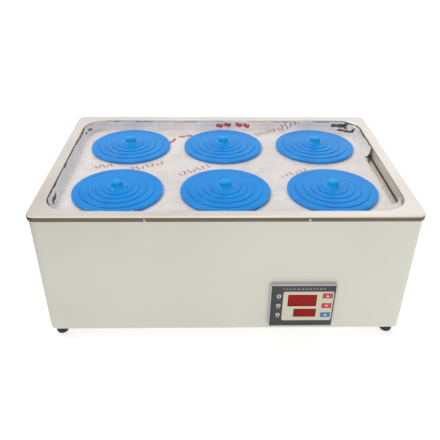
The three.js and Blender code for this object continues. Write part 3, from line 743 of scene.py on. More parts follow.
# ---- tank and what is in it
TANK_W, TANK_D, TANK_R = OPEN_W - 2 * LEDGE, OPEN_D - 2 * LEDGE, OPENING_R - LEDGE  # inside
TANK_T, TANK_FLANGE, TANK_FLOOR = 1.0, 7.0, 24  # the floor is one flat face from the last of these inwards
SIDE_X, WALL_Y = CENTRE.x + TANK_W / 2, CENTRE.y + TANK_D / 2  # inner faces of the right and back walls
HEATER_R, HEATER_HALF, HEATER_STEPS, HEATER_HOLE_R, PROBE_HOLE_R = 4.0, 45.0, 40, 7.0, 5.5
GLAND = [(10, -3.5, -0.3, 64, 0.6), (6.4, -1.5, 4, 32, 0.1), (12, 1.3, 9.4, 6, 0.9), (8.2, 9, 11, 40, 0.6)]
PROBE_ROD = [(2.2, -122, -118, 32, 1.0), (3, -120, 8, 40, 0.6), (5, -1.5, 4, 32, 0.1)]
PROBE_FITTING = [(7.5, -3, -0.3, 48, 0.5), (8, 1.3, 7.6, 6, 0.7), (5.6, 7.4, 9, 32, 0.5)]
SHELF_T, SHELF_HOLE_R, SHELF_STEP, SHELF_COLUMNS, SHELF_ROWS = 1.2, 10.0, 58.0, 7, 4
JACKET_SPACE, JACKET_THICK, JACKET_ROWS = 2.5, 13.0, 12  # the first is the gap to the tank's inside
QUILT, QUILT_UP = 46.0, 22.0  # the quilting's wavelength along the jacket, and half the one up it
PROBE_NOTCH, NOTCH_DEPTH = 10, 24  # half the size of the cut-out round the probe, and its depth


def make_tank():
    low, high = [corner.z for corner in box("bath_tank")]
    t, flange = TANK_T, TANK_FLANGE
    outside = [(TANK_FLOOR, low), (-t, low, 7.0), (-t, high - t, 1.5), (-flange, high - t), (-flange, high)]
    inside = [(0, high, 1.5), (0, low + t, 6.0), (TANK_FLOOR, low + t)]
    rings = inset_rings(TANK_W, TANK_D, TANK_R, softened(outside + inside, 0.3, 5, closed=False))
    cutter = bmesh.new()
    heater, probe = middle("heater_tube"), middle("temperature_probe")
    for leg in (-HEATER_HALF, HEATER_HALF):
        cut_round(cutter, HEATER_HOLE_R, (SIDE_X, heater.y + leg, heater.z), "Y", 40)
    cut_round(cutter, PROBE_HOLE_R, (SIDE_X, probe.y, probe.z), "Y", 40)
    cut_round(cutter, DRAIN_HOLE_R, (middle("drain_valve").x, WALL_Y, DRAIN_Z), "X")
    shell = carved(lofted("bath_tank_fine", rings), cutter)
    piece("bath_tank_fine", shell, "tank_steel", stands_for=["bath_tank"])


def make_shelf():
    low, high = box("perforated_shelf")
    near, far, top = low.y + SHELF_T, high.y - SHELF_T, high.z - SHELF_T
    outside = [(low.y, low.z), (low.y, high.z, 3.0), (high.y, high.z, 3.0), (high.y, low.z)]
    inside = [(far, low.z), (far, top, 2.0), (near, top, 2.0), (near, low.z)]
    channel = extruded("shelf", softened(outside + inside, 0.1, 4), low.x, high.x)
    centre = (low + high) / 2
    cutter = bmesh.new()
    for i in range(SHELF_COLUMNS):
        for j in range(SHELF_ROWS):
            x = centre.x + (i - (SHELF_COLUMNS - 1) / 2) * SHELF_STEP
            y = centre.y + (j - (SHELF_ROWS - 1) / 2) * SHELF_STEP
            cut_round(cutter, SHELF_HOLE_R, (x, y, high.z - SHELF_T / 2))
    piece("shelf_fine", carved(channel, cutter), "shelf_steel", stands_for=["perforated_shelf"])


def make_heater():
    low, high = box("heater_tube")
    y, z = (low.y + high.y) / 2, (low.z + high.z) / 2
    bend = low.x + HEATER_R + HEATER_HALF
    path = [(high.x, y - HEATER_HALF, z)]
    for k in range(HEATER_STEPS + 1):
        a = math.pi * (1.5 - k / HEATER_STEPS)
        path.append((bend + HEATER_HALF * math.cos(a), y + HEATER_HALF * math.sin(a), z))
    path.append((high.x, y + HEATER_HALF, z))
    piece("heater_fine", swept("heater_fine", path, HEATER_R), "heater_steel", stands_for=["heater_tube"])
    for end, leg in zip(ENDS, (-HEATER_HALF, HEATER_HALF)):
        node = f"heater_gland_{end}"
        mesh = stepped(f"{node}_fine", GLAND, (1, 0, 0), (SIDE_X, y + leg, z))
        piece(f"{node}_fine", mesh, "brass", stands_for=[node])


def make_probe():
    spot = middle("temperature_probe")
    mesh = stepped("probe_fine", PROBE_ROD + PROBE_FITTING, (1, 0, 0), (SIDE_X, spot.y, spot.z))
    piece("probe_fine", mesh, "probe_steel", stands_for=["temperature_probe"])


def make_jacket():
    """The glass-wool blanket round the tank, quilted."""
    low, high = box("insulation_jacket")
    inner, outer = -JACKET_SPACE, -JACKET_SPACE - JACKET_THICK
    step = (high.z - low.z) / JACKET_ROWS
    loop = [(outer, low.z + step * k) for k in range(JACKET_ROWS + 1)]
    loop += [(inner, high.z - step * k) for k in range(JACKET_ROWS + 1)]
    mesh = lofted("jacket_fine", inset_rings(TANK_W, TANK_D, TANK_R, softened(loop, 2.5, 3)), closed=True)
    cutter = bmesh.new()
    probe, half = middle("temperature_probe"), PROBE_NOTCH
    start = (SIDE_X, probe.y - half, probe.z - half)
    add_box(cutter, start, (SIDE_X + NOTCH_DEPTH, probe.y + half, probe.z + half))
    mesh = carved(mesh, cutter, 60.0)
    for vertex in mesh.vertices:
        x, y, z = vertex.co / MM
        along = x if abs(x) / TANK_W < abs(y - CENTRE.y) / TANK_D else y
        puff = math.cos(2 * math.pi * along / QUILT) * math.cos(math.pi * (z - low.z) / QUILT_UP)
        swell = -0.9 + 0.5 * puff + 0.4 * noise.noise(vertex.co * 60.0)
        vertex.co += Vector((x - CENTRE.x, y - CENTRE.y, 0)).normalized() * (swell * MM)
    jacket = piece("jacket_fine", mesh, "insulation", stands_for=["insulation_jacket"])


# ---- mains inlet, rocker and drain on the back
INLET_MID, INLET_FACE = middle("power_inlet"), box("power_inlet")[1].y
INLET_W, INLET_H, INLET_R, INLET_PROUD = 80, 32, 3, 0.3  # its plate, and how far off the casing that starts
INLET_BODY_X, INLET_BODY_Z, INLET_BODY_Y = 38, 14, 26  # half width, half height and depth behind the face
INLET_SCREW_X, INLET_SCREW_R = 36.6, 2.0
SOCKET_X, SOCKET_W, SOCKET_H, SOCKET_DEPTH, SOCKET_CHAMFER = -17.0, 24.6, 16.6, 17.0, 4.2
PINS = [(-7, -1.6), (0, 2.4), (7, -1.6)]
ROCKER_X, ROCKER_W, ROCKER_H, ROCKER_DEPTH, ROCKER_TILT = 22.0, 13.0, 19.0, 14.0, 10.0
ROCKER_END, ROCKER_FACE, ROCKER_RISE = 8.6, 2.2, 1.2  # half height, its face, and the rise of its ends
PIVOT_BACK, ROCKER_MARK_UP = 2.5, 5.0


def socket_outline():
    w, h, c = SOCKET_W / 2, SOCKET_H / 2, SOCKET_CHAMFER
    shape = [(-w, -h), (w, -h), (w, h - c), (w - c, h), (-w + c, h), (-w, h - c)]
    return moved(shape, INLET_MID.x + SOCKET_X, INLET_MID.z)


def make_inlet():
    x, z, face = INLET_MID.x, INLET_MID.z, INLET_FACE
    front = BACK_Y + INLET_PROUD
    plate = sheet_plate("plate", rounded_rect(INLET_W, INLET_H, INLET_R), [], front - face, 0, 0.7, 3)
    bx, bz = INLET_BODY_X, INLET_BODY_Z
    body = blocks("body", [((x - bx, face - INLET_BODY_Y, z - bz), (x + bx, front + 1.5, z + bz))], 0.8)
    cutter = bmesh.new()
    add_prism(cutter, socket_outline(), face - SOCKET_DEPTH, face + WALL_CUT)
    rx, w, h = x + ROCKER_X, ROCKER_W / 2, ROCKER_H / 2
    add_box(cutter, (rx - w, face - ROCKER_DEPTH, z - h), (rx + w, face + WALL_CUT, z + h))
    shell = carved(joined("inlet", [upright(plate, (x, front, z)), body]), cutter)
    piece("inlet_fine", shell, "housing_black", stands_for=["power_inlet"])
    sx, floor = x + SOCKET_X, face - SOCKET_DEPTH - 0.5
    pins = [((sx + dx - 1, floor, z + dz - 2), (sx + dx + 1, face - 3.5, z + dz + 2)) for dx, dz in PINS]
    piece("inlet_pins", blocks("inlet_pins", pins, 0.4), "screw_steel")
    for side in (-1, 1):
        cross_screw(f"inlet_screw_{side + 1}", (x + side * INLET_SCREW_X, face, z), (0, 1, 0), INLET_SCREW_R)


def make_rocker():
    end, flat, rise = ROCKER_END, ROCKER_FACE, ROCKER_RISE
    outline = [(-2, -end, 0.8), (-6, -4, 1.0), (-6, 4, 1.0), (-2, end, 0.8)]
    outline += [(flat + rise, end, 0.9), (flat, 0, 3.0), (flat + rise, -end, 0.9)]
    half = ROCKER_W / 2 - 0.5
    mesh = extruded("rocker_fine", softened(outline, 0.8, 4), -half, half)
    pivot = Vector((middle("rocker_switch").x, INLET_FACE - PIVOT_BACK, INLET_MID.z))
    turn = Matrix.Translation(pivot * MM) @ Matrix.Rotation(math.radians(-ROCKER_TILT), 4, "X")
    mesh.transform(turn)
    piece("rocker_fine", mesh, "rocker_black", "rocker", ["rocker_switch"])
    bar, ring = [rounded_rect(0.7, 3.4, 0.3, 3)], [circle(0, 0, 1.7, 32), circle(0, 0, 1.1, 32)]
    for kind, outlines, up in (("bar", bar, ROCKER_MARK_UP), ("ring", ring, -ROCKER_MARK_UP)):
        mark = sheet_plate(kind, outlines[0], outlines[1:], -0.05, 0.12, 0.03)
        lean = math.copysign(math.atan2(rise, end), up)
        mark.transform(Matrix.Rotation(-QUARTER - lean, 4, "X"))
        shifted(mark, 0, flat + abs(up) / end * rise, up).transform(turn)
        piece(f"rocker_{kind}", mark, "ink_white", "rocker")


def make_drain():
    x, z, base = middle("drain_valve").x, DRAIN_Z, CENTRE.y
    lever_y = middle("drain_lever").y
    near, wall, end = lever_y - base, WALL_Y - base, box("drain_valve")[1].y - base
    steps = [
        (10, wall - 3, wall - 0.3, 48, 0.5),
        (6.8, wall - 2, wall + 4, 32, 0.1),
        (11, wall + 1.3, wall + 7, 6, 0.8),
        (6.2, wall + 6, near, 40, 0.2),
        (10, near - 9, near + 9, 6, 1.2),
        (7.0, near + 8.5, near + 10, 40, 0.4),
    ]
    body = stepped("drain_fine", steps, (0, 1, 0), (x, base, z))
    spout = [(0, near + 6), (5.2, near + 6), (5.2, end - 8.2)]
    spout += [(6.4, end - 7.4), (5.3, end - 5.2), (6.4, end - 4.6), (5.3, end - 2.4), (6.0, end - 1.8)]
    spout += [(4.8, end, 0.3), (3.9, end, 0.2), (3.9, near + 7), (0, near + 7)]
    nozzle = aimed(lathed("nozzle", spout, 0.2, 3, 48), (0, 1, 0), (x, base, z))
    stem = stepped("stem", [(3, 0, 11, 32, 0.3), (5.2, 8, 10.4, 6, 0.4)], (0, 0, 1), (x, lever_y, z))
    piece("drain_fine", joined("drain_fine", [body, nozzle, stem]), "brass", stands_for=["drain_valve"])


LEVER_SIDE = [(-4.5, 3.4), (8, 3.0), (16, 3.5), (36, 4.4)]
LEVER_TIP, LEVER_TIP_R = 38, 4.6


def make_drain_lever():
    foot = box("drain_lever")[0].z
    x, y = middle("drain_valve").x, middle("drain_lever").y
    angles = [math.radians(-75 + 15 * k) for k in range(11)]
    arm = [(along, -out) for along, out in LEVER_SIDE]
    arm += [(LEVER_TIP + LEVER_TIP_R * math.cos(a), LEVER_TIP_R * math.sin(a)) for a in angles]
    arm += reversed(LEVER_SIDE)
    sleeve = sheet_plate("lever_sleeve", softened(arm, 0.6, 2), [], foot + 1.4, foot + 4.4, 1.1, 4)
    piece("lever_fine", shifted(sleeve, x, y), "lever_red", "drain_lever", ["drain_lever"])
    steps = [(6, 0, 1.6, 48, 0.3), (5.6, 1.4, 5, 48, 0.5), (4.0, 4.8, 7.4, 6, 0.5), (2.0, 7.0, 8.6, 24, 0.4)]
    hub = stepped("lever_hub", steps, (0, 0, 1), (x, y, foot))
    piece("lever_hub", hub, "screw_steel", "drain_lever")


# ---- deck and lids
DECK_R, COLLAR = OPENING_R - 1.5, 5  # the deck's corners, and the height of its holes' turned-down edges
RING_R = [64.5, 52.5, 41, 31]
CAP_R = 21.5
TOPS = [4.6, 5.6, 6.6, 7.6, 8.6]  # heights of the rings' tops and the cap's above the deck
FIT, LEDGE_IN, FLANGE_T, LEDGE_T, GAP = 0.2, 4.6, 2.1, 1.6, 0.3
EDGE = 0.9  # rounding of the visible edges


def make_deck():
    width, depth = DECK_HIGH.x - DECK_LOW.x, DECK_HIGH.y - DECK_LOW.y
    top, low, t, r = DECK_Z, DECK_LOW.z, STEEL_T, HOLE_R
    inner, under = top - t, top - COLLAR
    holes = [circle(x, y, r - 0.2) for x, y in HOLE_SPOTS]
    plate = sheet_plate("deck_top", rounded_rect(width - 4, depth - 4, DECK_R - 2), holes, inner, top, 0.3)
    profile = softened([(3, top), (0, top, 1.6), (0, low), (t, low), (t, inner, 1.0), (3, inner)], 0.2, 4)
    edge = lofted("deck_edge", inset_rings(width, depth, DECK_R, profile), closed=True)
    collar = softened([(r, top - 0.02), (r, under), (r + t, under), (r + t, top - 0.3)], 0.2, 2)
    meshes = [shifted(plate, CENTRE.x, CENTRE.y), edge]
    for x, y in HOLE_SPOTS:
        meshes.append(shifted(turned("collar", collar, closed=True), CENTRE.x + x, CENTRE.y + y))
    piece("deck_plate_fine", joined("deck_plate_fine", meshes), "deck_steel", "deck", ["deck_plate"])


def seat(k):
    """Radius of ring k's rebate, radius of its opening and height of its ledge."""
    rebate = [*RING_R, CAP_R][k + 1] + FIT
    return rebate, rebate - LEDGE_IN, TOPS[k + 1] - FLANGE_T - GAP


def ring_mesh(k):
    rebate, opening, ledge = seat(k)
    top, out, low = TOPS[k], RING_R[k], ledge - LEDGE_T
    inside = [(rebate, top, 0.35), (rebate, ledge), (opening, ledge), (opening, low)]
    if k == 0:
        wall, plug = HOLE_R - 0.8, HOLE_R - 4
        outside = [(plug, low), (plug, -5), (wall, -5), (wall, GAP), (out, GAP), (out, top, 1.6)]
    else:
        under, lip = seat(k - 1)[2] + GAP, seat(k - 1)[1] - FIT
        outside = [(lip, low), (lip, under), (out, under), (out, top, EDGE)]
    return turned(f"ring_{k + 1}_fine", softened(outside + inside, 0.25, 4), 128, closed=True)


def cap_mesh():
    _, opening, ledge = seat(3)
    under, top, lip = ledge + GAP, TOPS[4], opening - FIT
    foot = [(0, under - 1.6), (lip, under - 1.6, 0.3), (lip, under, 0.2), (CAP_R, under, 0.3)]
    flare = [(CAP_R, top, EDGE), (17.5, top + 0.15, 3.0), (11.6, top + 1.0, 2.5), (9.0, top + 3.0, 2.5)]
    knob = [(8.1, top + 6.2, 2.5), (7.5, top + 9.0, 2.2), (4.4, top + 10.3, 2.2), (0, top + 10.5)]
    return lathed("cap_fine", foot + flare + knob, 0.3, 6, 128)


def make_lids():
    meshes = {f"ring_{k + 1}": ring_mesh(k) for k in range(len(RING_R))}
    meshes["cap"] = cap_mesh()
    for hole, (x, y) in zip(HOLES, HOLE_SPOTS):
        for kind, mesh in meshes.items():
            node = f"{kind}_{hole}"
            piece(f"{node}_fine", mesh, "lid_blue", node, [node], at=(CENTRE.x + x, CENTRE.y + y, DECK_Z))


# ---- protective film on the deck
FILM_STEP = 1.5
FILM_W, FILM_D = 499.0, 334.0  # flat, before its edges were turned up
FILM_HOLE = 61.5
FILM_T = 0.08
FOLD_W, FOLD_D, FOLD_R = 463.0, 296.0, 30.0  # where it starts to turn up
BEND_R, BEND_END = 4.5, 1.4
LIDS_R, LOOSE_OVER = 65.0, 9.0  # the lids hold it down to this radius, and it is loose this much further out
WALL_MOST = 18.6  # no part of it reaches further up the walls
TORN = (-112.0, 40.0)  # along the right wall it ends on the deck between these depths
CREASES = 70


def make_creases():
    """Folds of the loose film: middle, direction, half length, width and height of each."""
    luck = random.Random(SEED)
    creases = []
    for _ in range(CREASES):
        x, y = luck.uniform(-FILM_W, FILM_W) / 2, luck.uniform(-FILM_D, FILM_D) / 2
        angle = luck.gauss(0.5, 0.9)
        size = luck.uniform(14, 46), luck.uniform(1.6, 4.2), luck.uniform(0.5, 1.7)
        creases.append((x, y, math.cos(angle), math.sin(angle), *size))
    return creases


FOLDS = make_creases()


def crease_height(x, y):
    total = 0.0
    for cx, cy, ux, uy, half, width, height in FOLDS:
        along = (x - cx) * ux + (y - cy) * uy
        if abs(along) > half:
            continue
        across = ((y - cy) * ux - (x - cx) * uy) / width
        if abs(across) < 3:
            total += height * math.exp(-across * across) * (1 - (along / half) ** 2)
    ripple = noise.noise(Vector((x * 0.045 + 7, y * 0.05, 1.7)))
    fine = noise.noise(Vector((x * 0.16, y * 0.13, 5.1)))
    return total + 0.8 * max(ripple, -0.2) + 0.25 * fine


def fold_reach(x, y):
    """How far a point of the flat film lies past the line where it turns up, and the way outwards there."""
    qx, qy = abs(x) - (FOLD_W / 2 - FOLD_R), abs(y) - (FOLD_D / 2 - FOLD_R)
    sx, sy = math.copysign(1, x), math.copysign(1, y)
    if qx > 0 and qy > 0:
        length = math.hypot(qx, qy)
        return length - FOLD_R, sx * qx / length, sy * qy / length
    if qx > qy:
        return qx - FOLD_R, sx, 0.0
    return qy - FOLD_R, 0.0, sy


def film_point(x, y):
    """Where a point of the flat film lies, about the deck's middle and above its top face."""
    reach, nx, ny = fold_reach(x, y)
    free = min(math.hypot(x - sx, y - sy) for sx, sy in HOLE_SPOTS)
    loose = min(max((free - LIDS_R) / LOOSE_OVER, 0.0), 1.0)
    swell = loose * max(crease_height(x, y), -0.3)
    if reach <= 0:
        return Vector((x, y, 0.15 + 0.4 * loose + swell))
    turn = min(reach / BEND_R, BEND_END)
    rest = max(reach - BEND_R * BEND_END, 0.0)
    out = BEND_R * math.sin(turn) + rest * math.cos(BEND_END) - reach - 0.75 * swell * math.sin(turn)
    up = BEND_R * (1 - math.cos(turn)) + rest * math.sin(BEND_END)
    return Vector((x + nx * out, y + ny * out, 0.55 + up + swell * math.cos(turn)))


def above_deck(point):
    """A point about the deck's middle and above its top face, in metres."""
    return (Vector((CENTRE.x, CENTRE.y, DECK_Z)) + point) * MM


def film_inside(x, y):
    edge = 17.0 if y > 0 or x < 0 else 13.0
    edge += 4.0 * noise.noise(Vector((x * 0.025, y * 0.025, 9.0)))
    edge += 2.0 * noise.noise(Vector((x * 0.11, y * 0.11, 4.0)))
    if x > 0 and TORN[0] < y < TORN[1]:
        edge = -2.0 + 3.0 * noise.noise(Vector((y * 0.05, 2.0, 2.0)))
    if fold_reach(x, y)[0] >= min(edge, WALL_MOST):
        return False
    return all(math.hypot(x - sx, y - sy) > FILM_HOLE for sx, sy in HOLE_SPOTS)


def make_film():
    across, along = int(FILM_W / FILM_STEP), int(FILM_D / FILM_STEP)
    index, vertices, faces = {}, [], []

    def spot(i, j):
        return (i - across / 2) * FILM_STEP, (j - along / 2) * FILM_STEP

    def corner(i, j):
        if (i, j) not in index:
            index[i, j] = len(vertices)
            vertices.append(above_deck(film_point(*spot(i, j))))
        return index[i, j]

    for i in range(across):
        for j in range(along):
            if film_inside(*spot(i + 0.5, j + 0.5)):
                faces.append((corner(i, j), corner(i + 1, j), corner(i + 1, j + 1), corner(i, j + 1)))
    film = piece("protective_film", mesh_from("protective_film", vertices, faces, 60.0), "film", "deck")
    thick = film.modifiers.new("thickness", "SOLIDIFY")
    thick.thickness = FILM_T * MM
    thick.offset = 1.0


# Marks printed on the film, without letters, and dark strips of painted reflection and painted shade in its
# folds: start and end on the flat film, width, number of strokes, ink.
PRINT_AND_SHADE_BARS = [
    ((-11, 157), (17, 160), 6.5, 2, "ink_red"),
    ((23, 160), (50, 157), 7.0, 2, "ink_red"),
    ((-76, 116), (-52, 126), 6.0, 2, "ink_pink"),
    ((-94, 84), (-80, 114), 5.0, 1, "ink_pink"),
    # The dark strips below are painted reflection and painted shade in folds, not print.
    ((194, 158), (237, 155), 6.5, 1, "painted_fold_dark"),
    ((206, 150), (243, 133), 6.0, 1, "painted_fold_dark"),
    ((216, 158), (226, 147), 4.0, 1, "painted_fold_dark"),
    ((-233, 143), (-239, 130), 3.5, 1, "painted_fold_dark"),
    ((-238, 126), (-241, 117), 3.0, 1, "painted_fold_dark"),
    ((-241, -92), (-236, -116), 6.0, 1, "painted_fold_dark"),
]
# Rows of upright ticks: start and end of the row, height, number of ticks, ink.
PRINTED_ROWS = [
    ((56, 122), (142, 164), 9.5, 12, "ink_pink"),
    ((-68, -30), (-20, 2), 9.5, 7, "ink_pink"),
    ((-200, -4), (-172, 4), 9.0, 5, "ink_pink"),
    ((-150, -16), (-92, 12), 9.5, 8, "ink_pink"),
    ((84, -36), (130, -10), 7.0, 6, "ink_pink"),
]
STROKE_STEP, INK_LIFT, INK_END = 1.2, 0.4, 17.0  # INK_END is how far up the walls the ink may go
BAR_START, BAR_END, BAR_WAVE = 0.04, 0.92, 1.1
TICK_W, TICK_LEAN, TICK_WAVE, TICK_HEIGHTS = 2.3, 1.4, 1.6, (0.91, 1.3, 1.3)
SLOPE_STEP = 0.4  # the film's slope is taken over this distance


def ink_point(spot):
    """Where a point of ink on the flat film lies, just above the film."""
    reach, nx, ny = fold_reach(*spot)
    spot = spot - Vector((nx, ny)) * max(reach - INK_END, 0.0)
    here = film_point(*spot)
    east = film_point(spot.x + SLOPE_STEP, spot.y) - here
    north = film_point(spot.x, spot.y + SLOPE_STEP) - here
    return above_deck(here + INK_LIFT * east.cross(north).normalized())


def stroke(start, end, width, wave):
    """Pairs of points along the two sides of a strip of ink from start to end, which sways by wave."""
    length = (end - start).length
    along = (end - start) / length
    side = Vector((-along.y, along.x))
    count = max(int(length / STROKE_STEP), 2)
    points = []
    for i in range(count + 1):
        share = i / count
        spine = start + along * length * share + side * wave * math.sin(share * 7.0)
        half = width / 2 * (0.7 + 0.3 * math.sin(math.pi * share)) * (1 + 0.2 * math.sin(share * 17.0))
        points += [ink_point(spine - side * half), ink_point(spine + side * half)]
    return points


# Printed marks on the film, and dark strips of painted reflection and painted shade in its folds.
def make_print_and_fold_shade():
    strokes = {"painted_fold_dark": [], "ink_pink": [], "ink_red": []}
    for start, end, width, count, ink in PRINT_AND_SHADE_BARS:
        start, end = Vector(start), Vector(end)
        for i in range(count):
            ends = [start.lerp(end, (i + share) / count) for share in (BAR_START, BAR_END)]
            strokes[ink].append(stroke(*ends, width, BAR_WAVE))
    for start, end, height, count, ink in PRINTED_ROWS:
        start, end = Vector(start), Vector(end)
        side = Vector((start.y - end.y, end.x - start.x)).normalized()
        lean = (end - start).normalized() * TICK_LEAN
        for i in range(count):
            foot = start.lerp(end, (i + 0.5) / count)
            head = foot + side * height * TICK_HEIGHTS[i % 3] + lean
            strokes[ink].append(stroke(foot, head, TICK_W, TICK_WAVE if i % 2 else -TICK_WAVE))
    for ink, strips in strokes.items():
        vertices, faces = [], []
        for points in strips:
            firsts = range(len(vertices), len(vertices) + len(points) - 2, 2)
            faces += [(i, i + 2, i + 3, i + 1) for i in firsts]
            vertices += points
        piece(f"film_{ink}", mesh_from(f"film_{ink}", vertices, faces, 60.0), ink, "deck")


# ---- controller, about its middle
CONTROL = middle("controller_bezel")
FACE_Y = box("controller_face")[0].y
BEZEL, BEZEL_HOLE, FACE = (92, 76, 2.5), (88.9, 72.9, 1.2), (88.4, 72.4, 1.2)
CREAM_FIELD = (7.7, -0.6, 70.5, 52.5)
WINDOWS = {"upper": (-0.6, 9.8, 40.5, 21.0), "lower": (4.5, -12.7, 32.0, 15.0)}
DIGITS, DIGIT_STEP, DIGIT_H = 4, 0.235, 0.62  # in each window; step and height are shares of the window
SEGMENTS = [(0, up, True) for up in (1, 0, -1)]
SEGMENTS += [(side, up, False) for side in (1, -1) for up in (0.5, -0.5)]
KEYS = [
    ("button_up", 18.0, "button_red"),
    ("button_down", 0.2, "button_red"),
    ("button_set", -16.8, "button_blue"),
]
KEY_X, KEY_W, KEY_H = 34.3, 14.0, 9.0
LAMP_X, LAMP_ROWS, LAMP_R = -33.5, (17.8, 0.8, -16.0), 1.9
TICKS_DOWN, TICK_OFFSETS = 5.2, (-1.9, 0, 1.9)
HEADER_Z, HEADER_H = 30.4, 1.9
HEADER_DASHES = [  # middle and width of each dash above the displays
    (-27.5, 2.0), (-23.0, 2.8), (-18.1, 2.2), (-13.3, 3.0), (-7.0, 4.0), (-1.3, 3.0),
    (3.7, 2.8), (9.1, 3.8), (14.5, 2.8), (19.1, 2.2), (23.7, 3.0), (28.7, 2.6),
]


def on_panel(mesh):
    """A mesh drawn flat about the controller's middle, set on its face."""
    return upright(mesh, (CONTROL.x, FACE_Y, CONTROL.z))


def front_piece(name, outline, holes, low, high, material, stands_for=(), edge=0.2, body="bath"):
    """A flat piece of the controller's front between two heights."""
    mesh = on_panel(sheet_plate(name, outline, holes, low, high, edge))
    piece(name, mesh, material, body, stands_for)


def make_controller():
    bezel, hole = rounded_rect(*BEZEL), rounded_rect(*BEZEL_HOLE)
    front_piece("bezel_fine", bezel, [hole], -4.4, 0.8, "bezel_silver", ["controller_bezel"], 0.5)
    openings = [rect_at(*window) for window in WINDOWS.values()]
    openings += [rect_at(KEY_X, z, KEY_W, KEY_H) for _, z, _ in KEYS]
    holes = openings + [circle(LAMP_X, z, LAMP_R, 24) for z in LAMP_ROWS]
    front_piece("face_fine", rounded_rect(*FACE), holes, -1.6, 0, "panel_black", ["controller_face"], 0.15)
    x, y, width, height = CREAM_FIELD
    field = moved(rounded_rect(width, height, 3.0), x, y)
    front_piece("cream_field", field, openings, 0.0, 0.12, "panel_cream", edge=0.03)


def key_mark(kind):
    """Outline of the mark on a key, about its middle."""
    if kind == "button_set":
        return circle(0, 0, 1.5, 24)
    sign = 1 if kind == "button_up" else -1
    return [(-2.1, -1.3 * sign), (2.1, -1.3 * sign), (0, 1.7 * sign)][::sign]


def make_keys():
    for name, z, material in KEYS:
        proud = FACE_Y - box(name)[0].y
        cap = rect_at(KEY_X, z, KEY_W - 0.8, KEY_H - 0.8, 1.2)
        front_piece(f"{name}_fine", cap, [], -2.6, proud, material, [name], 0.25, name)
        mark = moved(key_mark(name), KEY_X, z)
        low, high = proud - 0.05, proud + 0.05
        front_piece(f"{name}_mark", mark, [], low, high, "ink_white", (), 0.02, name)


def seven_segments(x, y, size, low, high):
    """The seven bars of an unlit digit."""
    half_w, half_h, thick = size * 0.27, size * 0.5, size * 0.07
    bars = []
    for sx, sy, level in SEGMENTS:
        w, h = (2 * half_w - 2.6 * thick, 2 * thick) if level else (2 * thick, half_h - 2.6 * thick)
        bar = rect_at(x + sx * half_w, y + sy * half_h, w, h, 0.25)
        bars.append(sheet_plate("bar", bar, [], low, high, 0.02))
    return bars


def make_displays():
    for place, (x, y, w, h) in WINDOWS.items():
        name = f"display_window_{place}"
        pane = rect_at(x, y, w - 0.5, h - 0.5, 0.6)
        front_piece(f"{name}_fine", pane, [], -2.0, -0.45, "display_red", [name], 0.15)
        bars = []
        for i in range(DIGITS):
            digit_x = x + (i - (DIGITS - 1) / 2) * w * DIGIT_STEP
            bars += seven_segments(digit_x, y, h * DIGIT_H, -0.47, -0.4)
        piece(f"{name}_digits", on_panel(joined(f"{name}_digits", bars)), "digit_dim")


def make_panel_marks():
    for i, z in enumerate(LAMP_ROWS, 1):
        ring, hole = circle(LAMP_X, z, 3.0, 40), circle(LAMP_X, z, LAMP_R, 40)
        front_piece(f"lamp_ring_{i}", ring, [hole], 0.0, 0.25, "ink_white", edge=0.08)
        front_piece(f"lamp_lens_{i}", circle(LAMP_X, z, 1.7, 32), [], -1.0, -0.1, "light_pipe", edge=0.3)
        for k, dx in enumerate(TICK_OFFSETS, 1):
            tick = rect_at(LAMP_X + dx, z - TICKS_DOWN, 1.3, 1.4, 0.2)
            front_piece(f"lamp_tick_{i}_{k}", tick, [], 0.0, 0.1, "ink_grey", edge=0.03)
    dashes = []
    for x, width in HEADER_DASHES:
        dashes.append(sheet_plate("dash", rect_at(x, HEADER_Z, width, HEADER_H, 0.3), [], 0.0, 0.1, 0.03))
    piece("header_marks", on_panel(joined("header_marks", dashes)), "ink_grey")


# ---- CAD nodes that stay, with their finish
KEPT = {
    "controller_housing": "housing_black",
    "display_board": "circuit_board",
    "indicator_light_pipe": "light_pipe",
    "power_board": "circuit_board",
}


def finish_kept_nodes():
    for node, material in KEPT.items():
        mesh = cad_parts[node].data
        mesh.materials.clear()
        mesh.materials.append(MATERIALS[material])


# ---- stage, in metres
WHITE, CARD_BLACK = (1.0, 1.0, 1.0, 1.0), (0.02, 0.02, 0.02, 1.0)
FLOOR_HALF, FLOOR, FLOOR_GLOW = 6, rgb(190, 190, 190), 0.66  # the glow keeps the ground white up to the feet
WORLD_LIGHT = 0.63
AIM = (0, 0, 0.12)


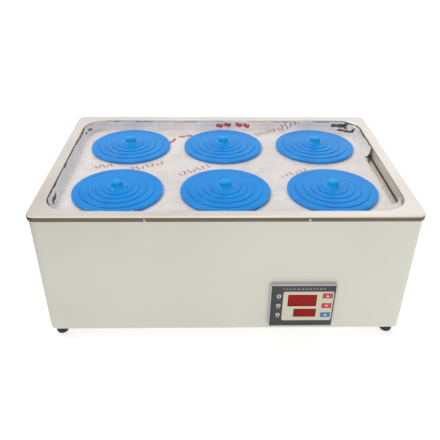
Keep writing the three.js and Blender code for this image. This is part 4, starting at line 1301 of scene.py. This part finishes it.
def stage_plane(name, corners, colour, rough, glow):
    """A plane that isn't part of the object."""
    plane = linked(name, mesh_from(name, corners, [(0, 1, 2, 3)]))
    paint = Paint(name)
    paint.set(Base_Color=colour, Roughness=rough, Emission_Color=WHITE, Emission_Strength=glow)
    plane.data.materials.append(paint.material)
    return plane


def make_card(name, start, end, low, high, glow):
    """An upright card seen only in reflections: white where it glows, black where it doesn't."""
    corners = [(*start, low), (*end, low), (*end, high), (*start, high)]
    card = stage_plane(name, corners, CARD_BLACK, 0.9, glow)
    card.visible_camera = False
    card.visible_shadow = False
    card.visible_diffuse = glow == 0


def area_light(name, at, size, power, colour=(1, 1, 1)):
    data = bpy.data.lights.new(name, "AREA")
    data.shape = "RECTANGLE"
    data.size, data.size_y = size
    data.energy = power
    data.color = colour
    lamp = linked(name, data)
    lamp.location = at
    lamp.rotation_euler = (Vector(AIM) - Vector(at)).to_track_quat("-Z", "Y").to_euler()


def make_stage():
    half = FLOOR_HALF
    corners = [(-half, -half, 0), (half, -half, 0), (half, half, 0), (-half, half, 0)]
    stage_plane("floor", corners, FLOOR, 0.8, FLOOR_GLOW)
    world = bpy.data.worlds.new("studio")
    world.use_nodes = True
    back = world.node_tree.nodes["Background"]
    back.inputs["Color"].default_value = WHITE
    back.inputs["Strength"].default_value = WORLD_LIGHT
    bpy.context.scene.world = world
    bpy.context.scene.view_settings.view_transform = "Standard"
    area_light("key", (-1.5, 0.1, 1.9), (0.9, 0.9), 17, (1.0, 0.99, 0.97))
    area_light("overhead", (-0.2, 1.1, 2.2), (1.8, 1.0), 11)
    area_light("fill", (0.3, -2.2, 0.9), (1.6, 1.0), 7.5)
    make_card("flag_left", (-0.6, -1.2), (-0.6, 0.2), 0.0, 0.5, 0.0)
    make_card("card_back", (-2.6, 2.2), (0.5, 2.2), 0.5, 1.5, 1.05)
    make_card("card_right", (0.5, 2.2), (2.8, 1.4), 0.5, 2.2, 1.2)


make_camera()
make_materials()
make_top_frame()
make_casing()
make_feet()
make_skirt_screws()
make_tank()
make_shelf()
make_heater()
make_probe()
make_jacket()
make_base()
make_inlet()
make_rocker()
make_drain()
make_drain_lever()
make_deck()
make_film()
make_print_and_fold_shade()
make_lids()
make_controller()
make_keys()
make_displays()
make_panel_marks()
finish_kept_nodes()
make_stage()
